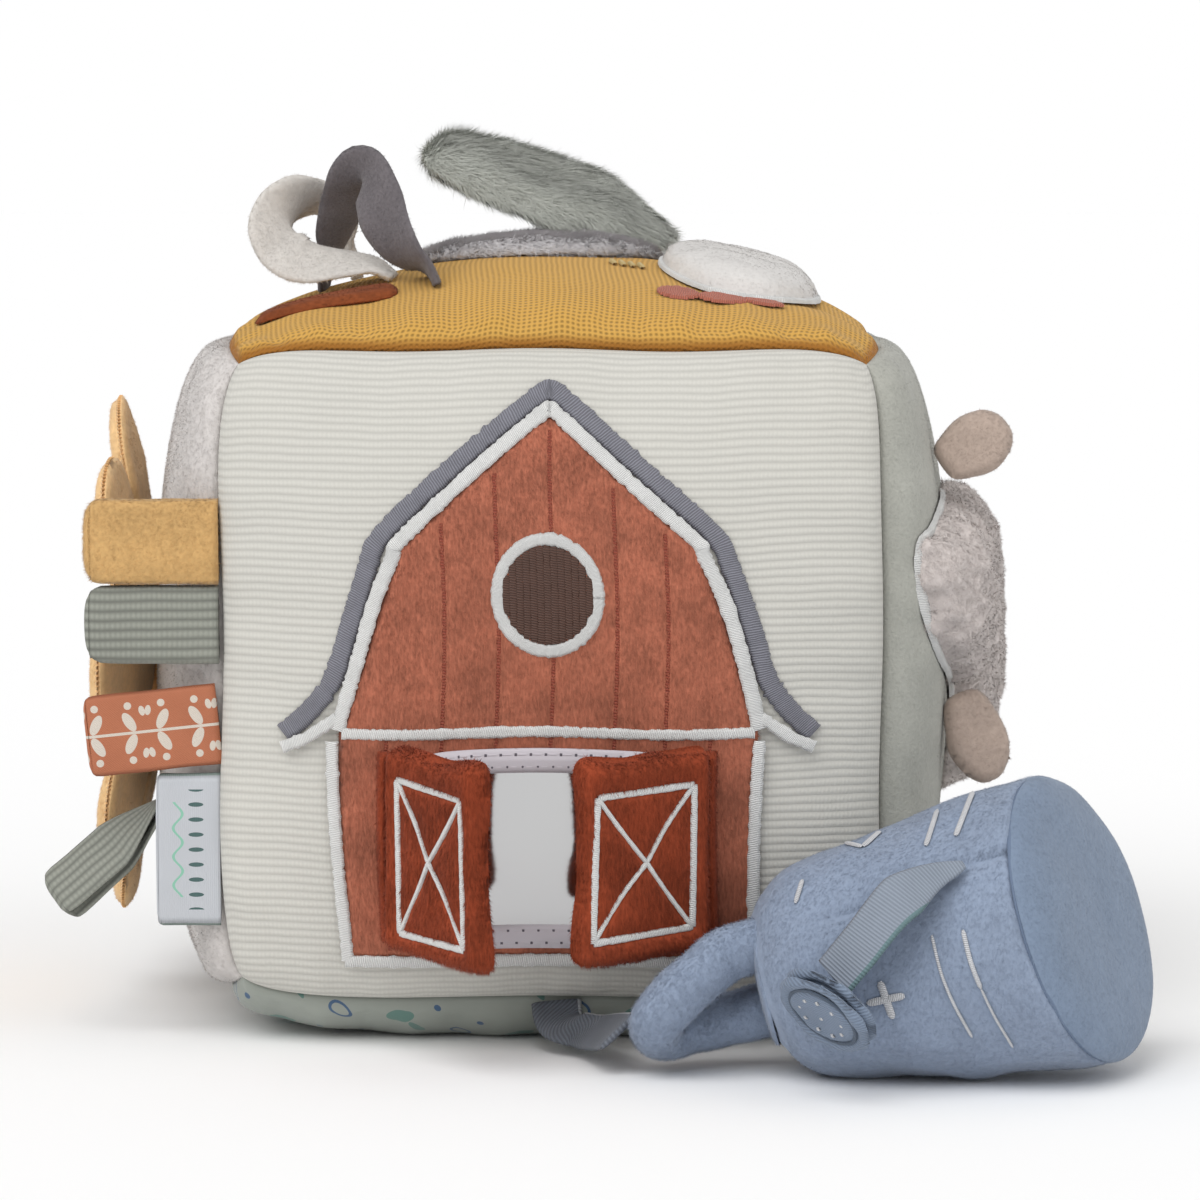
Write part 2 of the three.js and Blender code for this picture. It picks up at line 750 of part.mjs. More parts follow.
const leafLength = 29;
const leafWidth = 12;
const leafLayer = 1.2;
const leafFold = 1.6;
const leafY = -54.5;
const leafDrop = 27;
const leafSink = 0.55;
const leafSlant = THREE.MathUtils.degToRad(-42);
const leafSeat = onFace(faces.left, -leafY, -leafDrop, leafFold + leafLayer + sewnLift - leafSink);
const leaf = add(
  'leaf_loop',
  foldedTab(leafLength, leafWidth, leafLayer, leafLayer * tabRootHalfShare, leafFold),
  materials.sageWaffle,
);
leaf.position.copy(leafSeat);
leaf.rotation.order = 'YXZ';
leaf.rotation.set(Math.PI / 2, leafSlant, 0);

// Lamb on the right panel: a woolly head, a muzzle pad and two ears

const woolLength = 96;
const woolHeight = 67;
const woolThick = 10;
const woolEdge = 2.5;
const woolY = -14.5;
const woolRise = 3.5;
const woolRound = 32;
const earRound = 24;
// Shares of the wool's length and height; the top of the head points to the front
const woolShares = [
  [-0.495, 0.336], [-0.5, 0.216], [-0.479, 0.097], [-0.422, -0.007], [-0.286, -0.097],
  [-0.161, -0.2], [0.005, -0.38], [0.17, -0.5], [0.34, -0.485], [0.46, -0.35], [0.49, -0.11],
  [0.46, 0.127], [0.36, 0.3], [0.19, 0.425], [-0.016, 0.463], [-0.224, 0.455], [-0.37, 0.425],
  [-0.453, 0.373],
];
const muzzleHalfLength = 12.5;
const muzzleHalfHeight = 18;
const muzzleThick = 7.5;
const muzzleRise = -5;
const muzzleY = woolY + woolLength / 2 + muzzleHalfLength + gap;
const padRings = (edge, thick) => [
  [1, edge, 0],
  [0.93, thick * 0.62, 0],
  [0.78, thick * 0.9, 0],
  [0.5, thick, 0],
  [0.25, thick, 0],
];

// A padded piece sewn on a panel, with its middle at (s, t)
function padOn(face, outline, s, t, edge, thick) {
  const rings = padRings(edge, thick);
  return cushion(shifted(outline, s, t), rings, (x, y, h) => onFace(face, x, y, sewnLift + h), false);
}
const woolOutline = smoothOutline(woolShares, woolLength, woolHeight, woolRound);
add(
  'lamb_wool',
  padOn(faces.right, woolOutline, woolY, woolRise, woolEdge, woolThick),
  materials.wool,
);
const muzzleOutline = ovalOutline(muzzleHalfLength, muzzleHalfHeight, 2, earRound);
add(
  'lamb_muzzle',
  padOn(faces.right, muzzleOutline, muzzleY, muzzleRise, woolEdge, muzzleThick),
  materials.ear,
);

const earHalfWidth = 6.6;
const earEdge = 1.6;
const earThick = 4.6;
// Shares of the ear's length and half width
const earShares = [
  [0, -0.5], [0.25, -0.85], [0.55, -1], [0.82, -0.8], [0.97, -0.4], [1, 0],
  [0.97, 0.4], [0.82, 0.8], [0.55, 1], [0.25, 0.85], [0, 0.5],
];
const earRings = [[1, earEdge / 2, -earEdge / 2], [0.85, earThick * 0.4, -earThick * 0.4]];
earRings.push([0.45, earThick / 2, -earThick / 2]);

// An ear leans up from the panel's normal by lift and turns about its own length by twist
function addEar(name, y, rise, stand, length, lift, twist) {
  const outline = earShares.map(([s, t]) => point(s * length, t * earHalfWidth));
  const place = (s, t, h) => new THREE.Vector3(s, t, h);
  const ear = add(name, cushion(outline, earRings, place, false), materials.ear);
  ear.position.copy(onFace(faces.right, y, rise, stand));
  ear.rotation.order = 'YXZ';
  ear.rotation.set(twist, -lift, 0);
}
const earUpperLength = 15.5;
const earUpperY = -45;
const earUpperRise = 41;
const earUpperStand = 1.8;
const earUpperLift = THREE.MathUtils.degToRad(32);
const earUpperTwist = THREE.MathUtils.degToRad(68);
const earLowerLength = 18.5;
const earLowerY = -45.5;
const earLowerRise = -5.5;
const earLowerStand = 3.4;
const earLowerLift = THREE.MathUtils.degToRad(-70);
const earLowerTwist = THREE.MathUtils.degToRad(68);
addEar(
  'ear_upper',
  earUpperY,
  earUpperRise,
  earUpperStand,
  earUpperLength,
  earUpperLift,
  earUpperTwist,
);
addEar(
  'ear_lower',
  earLowerY,
  earLowerRise,
  earLowerStand,
  earLowerLength,
  earLowerLift,
  earLowerTwist,
);

// Hen on the top panel: a long-pile body, a raised wing, a head with its comb, and tail loops

const henHalfLength = 25.5;
const henHalfWidth = 30;
const henThick = 4;
const henEdge = 2.4;
const henX = -4;
const henY = 8;
const henRound = 24;
const henOutline = ovalOutline(henHalfLength, henHalfWidth, 2, henRound);
add('hen_body', padOn(faces.top, henOutline, henX, henY, henEdge, henThick), materials.greyPlush);

const headHalfLength = 16;
const headHalfWidth = 30;
const headThick = 5;
const headY = -18;
const headX = henX + henHalfLength + headHalfLength + gap + sewnLift;
const headOutline = ovalOutline(headHalfLength, headHalfWidth, 2.2, henRound);
add('hen_head', padOn(faces.top, headOutline, headX, headY, henEdge, headThick), materials.whitePlush);

const combLength = 24;
const combDepth = 5.4;
const combThick = 1;
const combBack = 6;
// Three round lobes on a strip: shares of the comb's length and depth
const combShares = [
  [-0.5, 0], [-0.5, -0.5], [-0.36, -0.85], [-0.22, -0.6], [-0.14, -0.45], [-0.08, -0.9],
  [0.05, -1], [0.16, -0.75], [0.22, -0.5], [0.3, -0.85], [0.42, -0.8], [0.5, -0.4], [0.5, 0],
];
const combOutline = smoothOutline(combShares, combLength, combDepth, 30);
const combSpots = shifted(combOutline, headX - combBack, headY - headHalfWidth - gap - combThick);
add('hen_comb', sewnPatch(faces.top, combSpots, [], sewnLift, combThick), materials.comb);

const wingLength = 49.5;
const wingHalfWidth = 20;
const wingEdge = 3;
const wingThick = 8;
const wingX = henX + henHalfLength * 0.88;
const wingY = 14;
const wingLift = THREE.MathUtils.degToRad(19);
const wingRoll = THREE.MathUtils.degToRad(15);
// Shares of the wing's length and half width
const wingShares = [
  [0, -0.4], [0.12, -0.7], [0.32, -0.95], [0.55, -1], [0.78, -0.82], [0.94, -0.5], [1, 0],
  [0.94, 0.5], [0.78, 0.82], [0.55, 1], [0.32, 0.95], [0.12, 0.7], [0, 0.4],
];
const wingOutline = wingShares.map(([s, t]) => point(s * wingLength, t * wingHalfWidth));
const wingRings = [
  [1, wingEdge / 2, -wingEdge / 2],
  [0.88, wingThick * 0.55, -wingEdge / 2],
  [0.5, wingThick - wingEdge / 2, -wingEdge / 2],
];
const wingPlace = (s, t, h) => new THREE.Vector3(-s, -t, h);
const wing = add('hen_wing', cushion(wingOutline, wingRings, wingPlace, false), materials.greyPlush);
const wingDrop = wingHalfWidth * wingShares[0][1] * Math.sin(wingRoll);
const wingRise = sewnLift + henThick + wingEdge / 2 - wingDrop;
const wingSeat = onFace(faces.top, wingX, wingY, wingRise);
wing.position.copy(wingSeat);
wing.rotation.order = 'YXZ';
wing.rotation.set(wingRoll, wingLift, 0);

// A standing loop of ribbon on the top panel, which twists to show its face. Each row has its share
// of the run to the side, of the height, of the way to the back and of a quarter turn
const loopSteps = 26;
function standingLoop(rows, footX, footY, run, height, back, width, thick) {
  const through = rows.map(([along, rise, behind]) => {
    const h = sewnLift + thick / 2 + rise * height;
    return onFace(faces.top, footX + along * run, footY + behind * back, h);
  });
  const curve = new THREE.CatmullRomCurve3(through, false, 'catmullrom');
  const twists = new THREE.SplineCurve(rows.map((row, i) => point(i, row[3])));
  const stations = Array.from({ length: loopSteps + 1 }, (_, i) => {
    const share = i / loopSteps;
    const turn = (Math.PI / 2) * Math.max(twists.getPoint(share).y, 0);
    const outward = curve.getTangent(share).cross(axisY).normalize();
    const w = outward.multiplyScalar(Math.sin(turn)).addScaledVector(axisY, -Math.cos(turn));
    return { p: curve.getPoint(share), w };
  });
  return ribbon(stations, width, thick);
}
const creamInset = 33.5;
const creamFootY = -27.5;
const creamRun = -24;
const creamHeight = 18;
const creamBack = 31;
const creamWidth = 13;
const creamThick = 2.2;
const creamRows = [
  [0, 0.02, 0, 0], [0.15, 0.08, 0, 0.1], [0.32, 0.15, 0, 0.2], [0.52, 0.21, 0, 0.3],
  [0.7, 0.29, 0, 0.42], [0.85, 0.43, 0, 0.52], [0.95, 0.6, 0.04, 0.56], [1, 0.78, 0.08, 0.55],
  [0.98, 0.94, 0.16, 0.47], [0.89, 1, 0.28, 0.38], [0.78, 0.967, 0.44, 0.31], [0.66, 0.86, 0.64, 0.25],
  [0.58, 0.712, 0.84, 0.18], [0.52, 0.504, 0.96, 0.09], [0.46, 0.275, 1, 0], [0.4, 0.03, 1, 0],
];
const creamFootX = creamInset - seamHalfX;
add(
  'cream_loop',
  standingLoop(
    creamRows,
    creamFootX,
    creamFootY,
    creamRun,
    creamHeight,
    creamBack,
    creamWidth,
    creamThick,
  ),
  materials.creamPlush,
);
const greyInset = 17.1;
const greyFootY = -12.5;
const greyRun = 25.4;
const greyHeight = 17.5;
const greyBack = -28;
const greyWidth = 13;
const greyThick = 1.8;
const greyRows = [
  [-0.05, 0, 0, 0], [0.0, 0.24, 0, 0.15], [0.068, 0.437, 0.04, 0.21], [0.14, 0.622, 0.16, 0.27],
  [0.221, 0.822, 0.32, 0.44], [0.32, 0.99, 0.52, 0.68], [0.416, 1, 0.68, 0.85], [0.477, 0.819, 0.8, 0.68],
  [0.551, 0.588, 0.88, 0.54], [0.657, 0.38, 0.96, 0.43], [0.786, 0.21, 1, 0.27], [0.905, 0.1, 1, 0.11],
  [1, 0.01, 1, 0],
];
const greyFootX = greyInset - seamHalfX;
add(
  'grey_loop',
  standingLoop(greyRows, greyFootX, greyFootY, greyRun, greyHeight, greyBack, greyWidth, greyThick),
  materials.greyVelvet,
);
const stripLength = 25;
const stripWidth = 8.5;
const stripThick = 2.6;
const stripInset = 17.5;
const stripY = -48.5;
const stripX = stripInset - seamHalfX;
const stripOutlineFlat = [
  point(-stripLength / 2, -stripWidth / 2),
  point(stripLength / 2, -stripWidth / 2),
  point(stripLength / 2, stripWidth / 2),
  point(-stripLength / 2, stripWidth / 2),
];
add(
  'rust_strip',
  sewnPatch(faces.top, shifted(stripOutlineFlat, stripX, stripY), [], sewnLift, stripThick),
  materials.amber,
);

// Watering can: it lies on its side, its small end to the left and its base turned to the front

const canLength = 57;
const canSmallRadius = 19.8;
const canBaseRadius = 28.6;
const canSwell = 0.8;
const canRounding = 3.5;
const canShoulder = 8;
const canRound = 28;
const canSteps = 8;
const canFlat = 0.5;
const canYaw = THREE.MathUtils.degToRad(-3);
const canLift = THREE.MathUtils.degToRad(3);
const canX = 45.2;
const canY = -98;
const baseBulge = 3;
const smallBulge = 3;
const canPitch = Math.atan2(canBaseRadius - canSmallRadius, canLength) + canLift;
const canZ = canSmallRadius * Math.cos(canPitch) - canFlat;

const can = new THREE.Group();
can.position.set(canX, canY, canZ);
can.rotation.order = 'ZYX';
can.rotation.set(0, -canPitch, canYaw);
block.add(can);
can.updateMatrixWorld(true);
const canInverse = can.matrix.clone().invert();

// The can's outer radius at a share of its length from the small end
const canRadius = (share) => (
  canSmallRadius + (canBaseRadius - canSmallRadius) * share + canSwell * Math.sin(Math.PI * share)
  - canRounding * Math.pow(1 - share, canShoulder)
);

// The soft can leans: towards its base, its near side is shorter than its far side
const canSkewShare = 0.36;
const canTiltShare = -0.128;
const canSkewPower = 1.5;
function leant(x, y, z) {
  const share = Math.min(Math.max(x / canLength, 0), 1);
  const shift = Math.pow(share, canSkewPower) * (canSkewShare * y + canTiltShare * z);
  return new THREE.Vector3(x + shift, y, z);
}

// A body of revolution about the can's axis, leant, and flattened where it would sink under the floor
function canPiece(profile, floor, round = canRound) {
  const lathe = new THREE.LatheGeometry(profile, round).rotateZ(-Math.PI / 2);
  return moved(lathe, (x, y, z) => {
    const p = leant(x, y, z).applyMatrix4(can.matrix);
    p.z = Math.max(p.z, floor);
    return p.applyMatrix4(canInverse);
  }, false);
}
const canLine = (inset) => Array.from({ length: canSteps + 1 }, (_, i) => {
  const share = i / canSteps;
  return point(canRadius(share) - inset, canLength * share);
});

const sideProfile = [...canLine(0), ...canLine(cloth).reverse(), canLine(0)[0]];
add('can_side', canPiece(sideProfile, 0), materials.bluePlush, can);

// A sewn end: a crowned disc of cloth whose rim meets the rim of the side
const endSteps = 4;
function endProfile(radius, from, bulge, sign) {
  const arc = (r, rise, offset) => Array.from({ length: endSteps + 1 }, (_, i) => {
    const a = (Math.PI / 2) * (1 - i / endSteps);
    return point(r * Math.sin(a), from + sign * (offset + rise * Math.cos(a)));
  });
  const outer = arc(radius, bulge, cloth);
  const inner = arc(radius - cloth, bulge, 0).reverse();
  const profile = [...inner, point(radius, from), ...outer];
  return sign > 0 ? profile : profile.reverse();
}
add(
  'can_base',
  canPiece(endProfile(canBaseRadius, canLength + gap, baseBulge, 1), 0),
  materials.bluePlush,
  can,
);
add('can_top', canPiece(endProfile(canRadius(0), -gap, smallBulge, -1), 0), materials.bluePlush, can);

const capsuleRadius = 9;
const capsuleLength = 22;
const capsuleRound = 18;
const capsuleAlong = 24;
const inside = cloth + gap;
const boreRadius = capsuleRadius + gap;
const fillingLine = canLine(inside);
const fillingProfile = [
  point(0, 0),
  ...fillingLine,
  point(boreRadius, canLength),
  point(boreRadius, capsuleAlong),
  point(0, capsuleAlong),
];
add('can_filling', canPiece(fillingProfile, inside, capsuleRound), materials.stuffing, can);
const capsuleProfile = [
  point(0, 0),
  point(capsuleRadius * 0.7, capsuleRadius * 0.15),
  point(capsuleRadius, capsuleRadius * 0.6),
  point(capsuleRadius, capsuleLength - capsuleRadius * 0.6),
  point(capsuleRadius * 0.7, capsuleLength - capsuleRadius * 0.15),
  point(0, capsuleLength),
];
const capsule = new THREE.LatheGeometry(capsuleProfile, capsuleRound).rotateZ(-Math.PI / 2);
add('rattle_capsule', welded(capsule), materials.plastic, can).position.x = capsuleAlong + cloth;

// Handle: a stuffed tube bent out of the small end and back, its upper run in front of its lower

const handleRadius = 5.2;
const handleReach = 19.5;
const handleSpread = 7.5;
const handleSway = 9;
const handleSides = 10;
const handleSteps = 22;
const handleStart = smallBulge + cloth + 4 * gap;
// Shares of the reach past the small end, of the sway to the front and of the spread
const handleShares = [
  [0, 0.45, 1], [0.16, 0.55, 0.96], [0.44, 0.86, 0.66], [0.72, 1, 0.24], [0.93, 0.9, -0.2],
  [1, 0.45, -0.6], [0.92, 0, -0.82], [0.68, -0.34, -0.88], [0.36, -0.52, -0.88], [0, -0.56, -0.86],
];
const handlePath = new THREE.CatmullRomCurve3(handleShares.map(([along, sway, rise]) => (
  new THREE.Vector3(
    -(handleStart + along * handleReach),
    -sway * handleSway,
    rise * handleSpread,
  )
)), false, 'centripetal');
const handleSection = new THREE.Shape(ovalOutline(handleRadius, handleRadius, 2, handleSides));
const handle = new THREE.ExtrudeGeometry(handleSection, {
  steps: handleSteps,
  bevelEnabled: false,
  extrudePath: handlePath,
});
add('can_handle', welded(handle), materials.bluePlush, can);

// Spout: a flat ribbon from the side of the can to a padded rose

const spoutWidth = 10;
const spoutThick = 1.2;
const spoutSteps = 10;
const spoutRootShare = 0.8;
const spoutRootAngle = THREE.MathUtils.degToRad(38);
const spoutStand = 4;
const roseRadius = 10.5;
const roseLayer = 1.9;
const roseRound = 20;
const roseAlongShare = 0.2;
const roseSide = 9.4;
const roseDrop = 3;
const rootRadius = canRadius(spoutRootShare) + spoutThick / 2 + 2 * gap;
const spoutRoot = leant(
  spoutRootShare * canLength,
  -rootRadius * Math.cos(spoutRootAngle),
  rootRadius * Math.sin(spoutRootAngle),
);
const roseMiddle = new THREE.Vector3(
  roseAlongShare * canLength,
  -(canRadius(roseAlongShare) + roseSide),
  -roseDrop,
);
const roseOut = new THREE.Vector3(-0.52, -0.575, -0.63).normalize();
roseOut.applyQuaternion(can.quaternion.clone().invert());
const spoutEnd = roseMiddle.clone().addScaledVector(roseOut, -(roseLayer + 2 * gap + spoutThick / 2));
spoutEnd.z += roseRadius / 3 + gap;
const spoutBow = spoutRoot.clone().lerp(spoutEnd, 0.5);
spoutBow.y -= spoutStand;
spoutBow.z += spoutStand;
const spoutCurve = new THREE.CatmullRomCurve3([
  spoutRoot,
  spoutRoot.clone().lerp(spoutBow, 0.5).add(new THREE.Vector3(0, 0, spoutStand / 4)),
  spoutBow,
  spoutBow.clone().lerp(spoutEnd, 0.6).add(new THREE.Vector3(0, -spoutStand / 8, 0)),
  spoutEnd,
], false, 'centripetal');
const spoutAcross = new THREE.Vector3(0.2, -0.55, -0.8);
const spoutStations = spoutCurve.getPoints(spoutSteps).map((p) => ({ p, w: spoutAcross }));
add('can_spout_ribbon', ribbon(spoutStations, spoutWidth, spoutThick), materials.blueTwill, can);

function addRose(name, offset) {
  const profile = [
    point(0, 0),
    point(roseRadius - roseLayer / 2, 0),
    point(roseRadius, roseLayer / 2),
    point(roseRadius - roseLayer / 2, roseLayer),
    point(0, roseLayer),
  ];
  const rose = add(name, welded(new THREE.LatheGeometry(profile, roseRound)), materials.blueTwill, can);
  rose.quaternion.setFromUnitVectors(axisY, roseOut);
  rose.position.copy(roseMiddle).addScaledVector(roseOut, offset);
}
addRose('rose_face', gap / 2);
addRose('rose_back', -roseLayer - gap / 2);

// Ribbon that ties the can to the front bottom seam

const tetherWidth = 10;
const tetherThick = 1.2;
const tetherSteps = 12;
const tetherX = 1;
const tetherDip = 3.2;
const tetherFront = 13;
const tetherTurn = THREE.MathUtils.degToRad(88);
const handleTip = handlePath.getPoint(0.52).applyMatrix4(can.matrix);
const tetherEnd = handleTip.clone();
tetherEnd.x -= handleRadius + 2 * gap + tetherThick;
tetherEnd.y += handleRadius * 0.4;
tetherEnd.z -= handleRadius * 0.3;
const tetherRoot = new THREE.Vector3(tetherX, -(seamHalfY + tetherThick / 2), seamLift - gap);
const tetherCurve = new THREE.CatmullRomCurve3([
  tetherRoot,
  new THREE.Vector3(tetherX + tetherThick, tetherRoot.y - tetherFront / 4, seamLift * 0.5),
  new THREE.Vector3(tetherX + tetherWidth * 0.4, tetherRoot.y - tetherFront * 0.6, tetherDip),
  new THREE.Vector3(tetherX + tetherWidth * 0.85, tetherRoot.y - tetherFront, tetherDip),
  tetherEnd,
], false, 'centripetal');
const tetherStations = tetherCurve.getPoints(tetherSteps).map((p, i) => {
  const turn = (i / tetherSteps) * tetherTurn;
  return { p, w: new THREE.Vector3(Math.cos(turn), Math.sin(turn), 0) };
});
add('tether_ribbon', ribbon(tetherStations, tetherWidth, tetherThick), materials.blueTwill);

export default block;
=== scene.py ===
import math

import bmesh
import bpy
import numpy as np
from mathutils import Matrix, Vector, noise
from mathutils.bvhtree import BVHTree
from mathutils.geometry import delaunay_2d_cdt


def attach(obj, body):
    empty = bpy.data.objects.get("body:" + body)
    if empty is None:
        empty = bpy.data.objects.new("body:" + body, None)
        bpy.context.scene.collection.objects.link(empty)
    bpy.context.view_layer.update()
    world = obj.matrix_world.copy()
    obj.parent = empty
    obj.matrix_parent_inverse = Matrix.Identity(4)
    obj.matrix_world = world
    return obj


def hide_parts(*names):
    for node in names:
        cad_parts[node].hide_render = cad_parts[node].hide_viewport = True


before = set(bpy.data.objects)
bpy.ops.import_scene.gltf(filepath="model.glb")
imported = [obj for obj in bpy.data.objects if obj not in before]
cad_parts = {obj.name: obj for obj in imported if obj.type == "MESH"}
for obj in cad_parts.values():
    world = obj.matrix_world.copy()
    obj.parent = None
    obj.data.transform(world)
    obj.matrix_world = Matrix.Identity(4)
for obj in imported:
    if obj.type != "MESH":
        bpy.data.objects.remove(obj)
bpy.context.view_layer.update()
scene = bpy.context.scene
MM = 0.001
X, Y, Z = np.eye(3)

# The block's skin, as the solids have it: lengths in mm
HALF = np.array([66.0, 66.0, 65.0])
CENTRE = np.array([0.0, 0.0, 74.0])
SIDE, MID = 66, 74.0
EDGE_DRAW = 0.012
CORNER_DRAW = 0.06
ROUNDNESS = {"top": (0.7, 0.4)}
EVEN = (0.35, 0.35)
FACES = {
    "front": (X, Z, -Y, 15.0),
    "back": (-X, Z, Y, 17.0),
    "left": (-Y, Z, -X, 16.0),
    "right": (Y, Z, X, 17.0),
    "top": (X, Y, Z, 17.0),
    "bottom": (X, -Y, -Z, 15.0),
}


def swell(face, u, v):
    """The crown's share at each point of a panel, from 0 at its seams to 1 in its middle."""
    a, b = ROUNDNESS.get(face, EVEN)
    return np.clip(1 - u * u, 0, None) ** a * np.clip(1 - v * v, 0, None) ** b


def drift(p):
    """Slow wander of the soft block's form, in mm, by place."""
    x, y, z = p.T
    wander = (
        np.sin(y / 9 + 1.3) + np.sin(z / 11 + 0.4),
        np.sin(z / 12 + 2.1) + np.sin(x / 10 + 0.7),
        np.sin(x / 9 + 1.9) + np.sin(y / 12 + 2.6),
    )
    return 0.4 * np.stack(wander, axis=1) * np.clip(p[:, 2:] / 30, 0, 1)


def drawn(a, b):
    """How far the seams draw the skin in, for the squared shares of two directions."""
    return 1 - EDGE_DRAW * ((1 - a) * b + (1 - b) * a)


def skin(face, u, v):
    """Points of the skin in mm for arrays u and v from -1 to 1."""
    right, up, out, crown = FACES[face]
    n = u[:, None] * right + v[:, None] * up + out
    x, y, z = (n * n).T
    corner = 1 - CORNER_DRAW * (x * y * z) ** 3
    draw = np.stack([drawn(z, y), drawn(z, x), drawn(x, y)], axis=1)
    p = n * HALF * draw * corner[:, None] + out * (crown * swell(face, u, v))[:, None] + CENTRE
    p = p + drift(p)
    p[:, 2] = np.maximum(p[:, 2], 0)
    return p


def over(face):
    """A place function: s to the right and t up from the panel's middle, h above its skin, in mm."""
    right, up, out, crown = FACES[face]
    half_r, half_u, half_o = (abs(float(a @ HALF)) for a in (right, up, out))

    def place(s, t, h):
        v = t / half_u
        u = s / (half_r * (1 - EDGE_DRAW * (1 - v * v)))
        v = t / (half_u * (1 - EDGE_DRAW * (1 - u * u)))
        lift = half_o * drawn(u * u, v * v) + crown * swell(face, u, v) + h
        p = CENTRE + s[:, None] * right + t[:, None] * up + lift[:, None] * out
        return p + drift(p)

    return place


# Lines and outlines, in mm
def unit(v):
    return v / np.linalg.norm(v, axis=-1, keepdims=True)


def run(line):
    """The length along a line at each of its points."""
    return np.concatenate([[0], np.cumsum(np.linalg.norm(np.diff(line, axis=0), axis=1))])


def rotation(a, first, b, second):
    """A turn by a about the first axis, after one by b about the second, in radians."""
    return np.array([list(r) for r in Matrix.Rotation(a, 3, first) @ Matrix.Rotation(b, 3, second)])


def subdivide(outline, spacing, closed=True):
    """The outline with points added so that no edge is longer than spacing."""
    a = np.asarray(outline, float)
    out = []
    for p, q in zip(a, np.roll(a, -1, 0) if closed else a[1:]):
        k = max(1, int(math.ceil(np.linalg.norm(q - p) / spacing)))
        out += [p + (q - p) * j / k for j in range(k)]
    return np.array(out if closed else out + [a[-1]])


def rounded(points, steps=6, closed=True):
    """A smooth line through the points."""
    p = np.asarray(points, float)
    n = len(p)
    out = []
    for i in range(n if closed else n - 1):
        near = i + np.arange(-1, 3)
        a, b, c, d = p[near % n if closed else np.clip(near, 0, n - 1)]
        for t in (j / steps for j in range(steps)):
            square, cube = (2 * a - 5 * b + 4 * c - d) * t * t, (3 * b - a - 3 * c + d) * t**3
            out.append(0.5 * (2 * b + (c - a) * t + square + cube))
    return np.array(out if closed else out + [p[-1]])


def oval(cx, cz, rx, rz, n=72, power=2.0):
    """An ellipse, or with a higher power a rectangle with round corners."""
    a = np.linspace(0, 2 * math.pi, n, endpoint=False)
    c, s = np.cos(a), np.sin(a)
    x, z = (np.sign(k) * np.abs(k) ** (2 / power) for k in (c, s))
    return np.stack([cx + rx * x, cz + rz * z], 1)


def inside(points, outline):
    x, y = points[:, 0], points[:, 1]
    hit = np.zeros(len(points), bool)
    for a, b in zip(outline, np.roll(outline, -1, axis=0)):
        cross = (a[1] > y) != (b[1] > y)
        with np.errstate(divide="ignore", invalid="ignore"):
            at = (b[0] - a[0]) * (y - a[1]) / (b[1] - a[1]) + a[0]
        hit ^= cross & (x < at)
    return hit


def distance(points, line, closed=True):
    """Distance of each point to a polyline."""
    a = np.asarray(line, float)
    best = np.full(len(points), 1e9)
    for p, q in zip(a, np.roll(a, -1, axis=0) if closed else a[1:]):
        d = q - p
        size = float(d @ d)
        if size > 0:
            t = np.clip(((points - p) @ d) / size, 0, 1)
            best = np.minimum(best, np.linalg.norm(points - p - t[:, None] * d, axis=1))
    return best


def bulge(d, radius):
    """Rises from 0 at the edge to 1 at radius inside it, as a quarter circle does."""
    return np.sqrt(1 - (1 - np.clip(d / radius, 0, 1)) ** 2)


def dome(edge, top, radius):
    """Height that goes from edge to top within radius of the outline."""
    return lambda verts, d: edge + (top - edge) * bulge(d, radius)


def level(height):
    return lambda verts, d: np.full(len(verts), height)


# Meshes, from points in mm
def link(obj):
    scene.collection.objects.link(obj)
    return obj


def read(mesh, what="co"):
    out = np.empty(len(mesh.vertices) * 3)
    mesh.vertices.foreach_get(what, out)
    return out.reshape(-1, 3)


def write(mesh, co):
    mesh.vertices.foreach_set("co", co.ravel())
    mesh.update()


def lay(mesh, name, uv):
    """Gives each corner of each face its vertex's place on the flat cloth."""
    layer = mesh.uv_layers.new(name=name, do_init=False)
    index = np.empty(len(mesh.loops), np.int32)
    mesh.loops.foreach_get("vertex_index", index)
    layer.data.foreach_set("uv", np.asarray(uv, np.float32)[index].ravel())


def make(name, points, faces, material, uv=None, fix=True):
    """A smooth piece; fix turns its faces outward."""
    mesh = bpy.data.meshes.new(name)
    mesh.from_pydata((np.asarray(points) * MM).tolist(), [], [list(map(int, f)) for f in faces])
    if uv is not None:
        lay(mesh, "cloth", uv)
    mesh.materials.append(material)
    if fix:
        bm = bmesh.new()
        bm.from_mesh(mesh)
        bmesh.ops.recalc_face_normals(bm, faces=bm.faces)
        bm.to_mesh(mesh)
        bm.free()
    mesh.shade_smooth()
    return link(bpy.data.objects.new(name, mesh))


def ride(obj, body, *nodes, pad=None):
    """Puts a piece on a body, in place of the nodes; pad is not used."""
    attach(obj, body)
    if nodes:
        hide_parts(*nodes)
    return obj


def grid_faces(rows, columns, start=0, ring=False, loop=False):
    """Quads over rows of points: ring closes each row, loop joins the last row to the first."""
    faces = []
    for i in range(rows if loop else rows - 1):
        here, there = start + i * columns, start + (i + 1) % rows * columns
        for j in range(columns if ring else columns - 1):
            k = (j + 1) % columns
            faces.append((here + j, here + k, there + k, there + j))
    return faces


def wobble(points, size, seed):
    """Soft noise at each point: size is the wavelength, in the points' unit."""
    return np.array([noise.noise(Vector((p / size).tolist()) + Vector((seed, 0, 0))) for p in points])


def rumple(obj, size, amount, seed=0.0):
    """Moves each vertex along its normal by soft noise."""
    co = read(obj.data)
    shift = wobble(co, size * MM, seed) * amount * MM
    write(obj.data, co + read(obj.data, "normal") * shift[:, None])


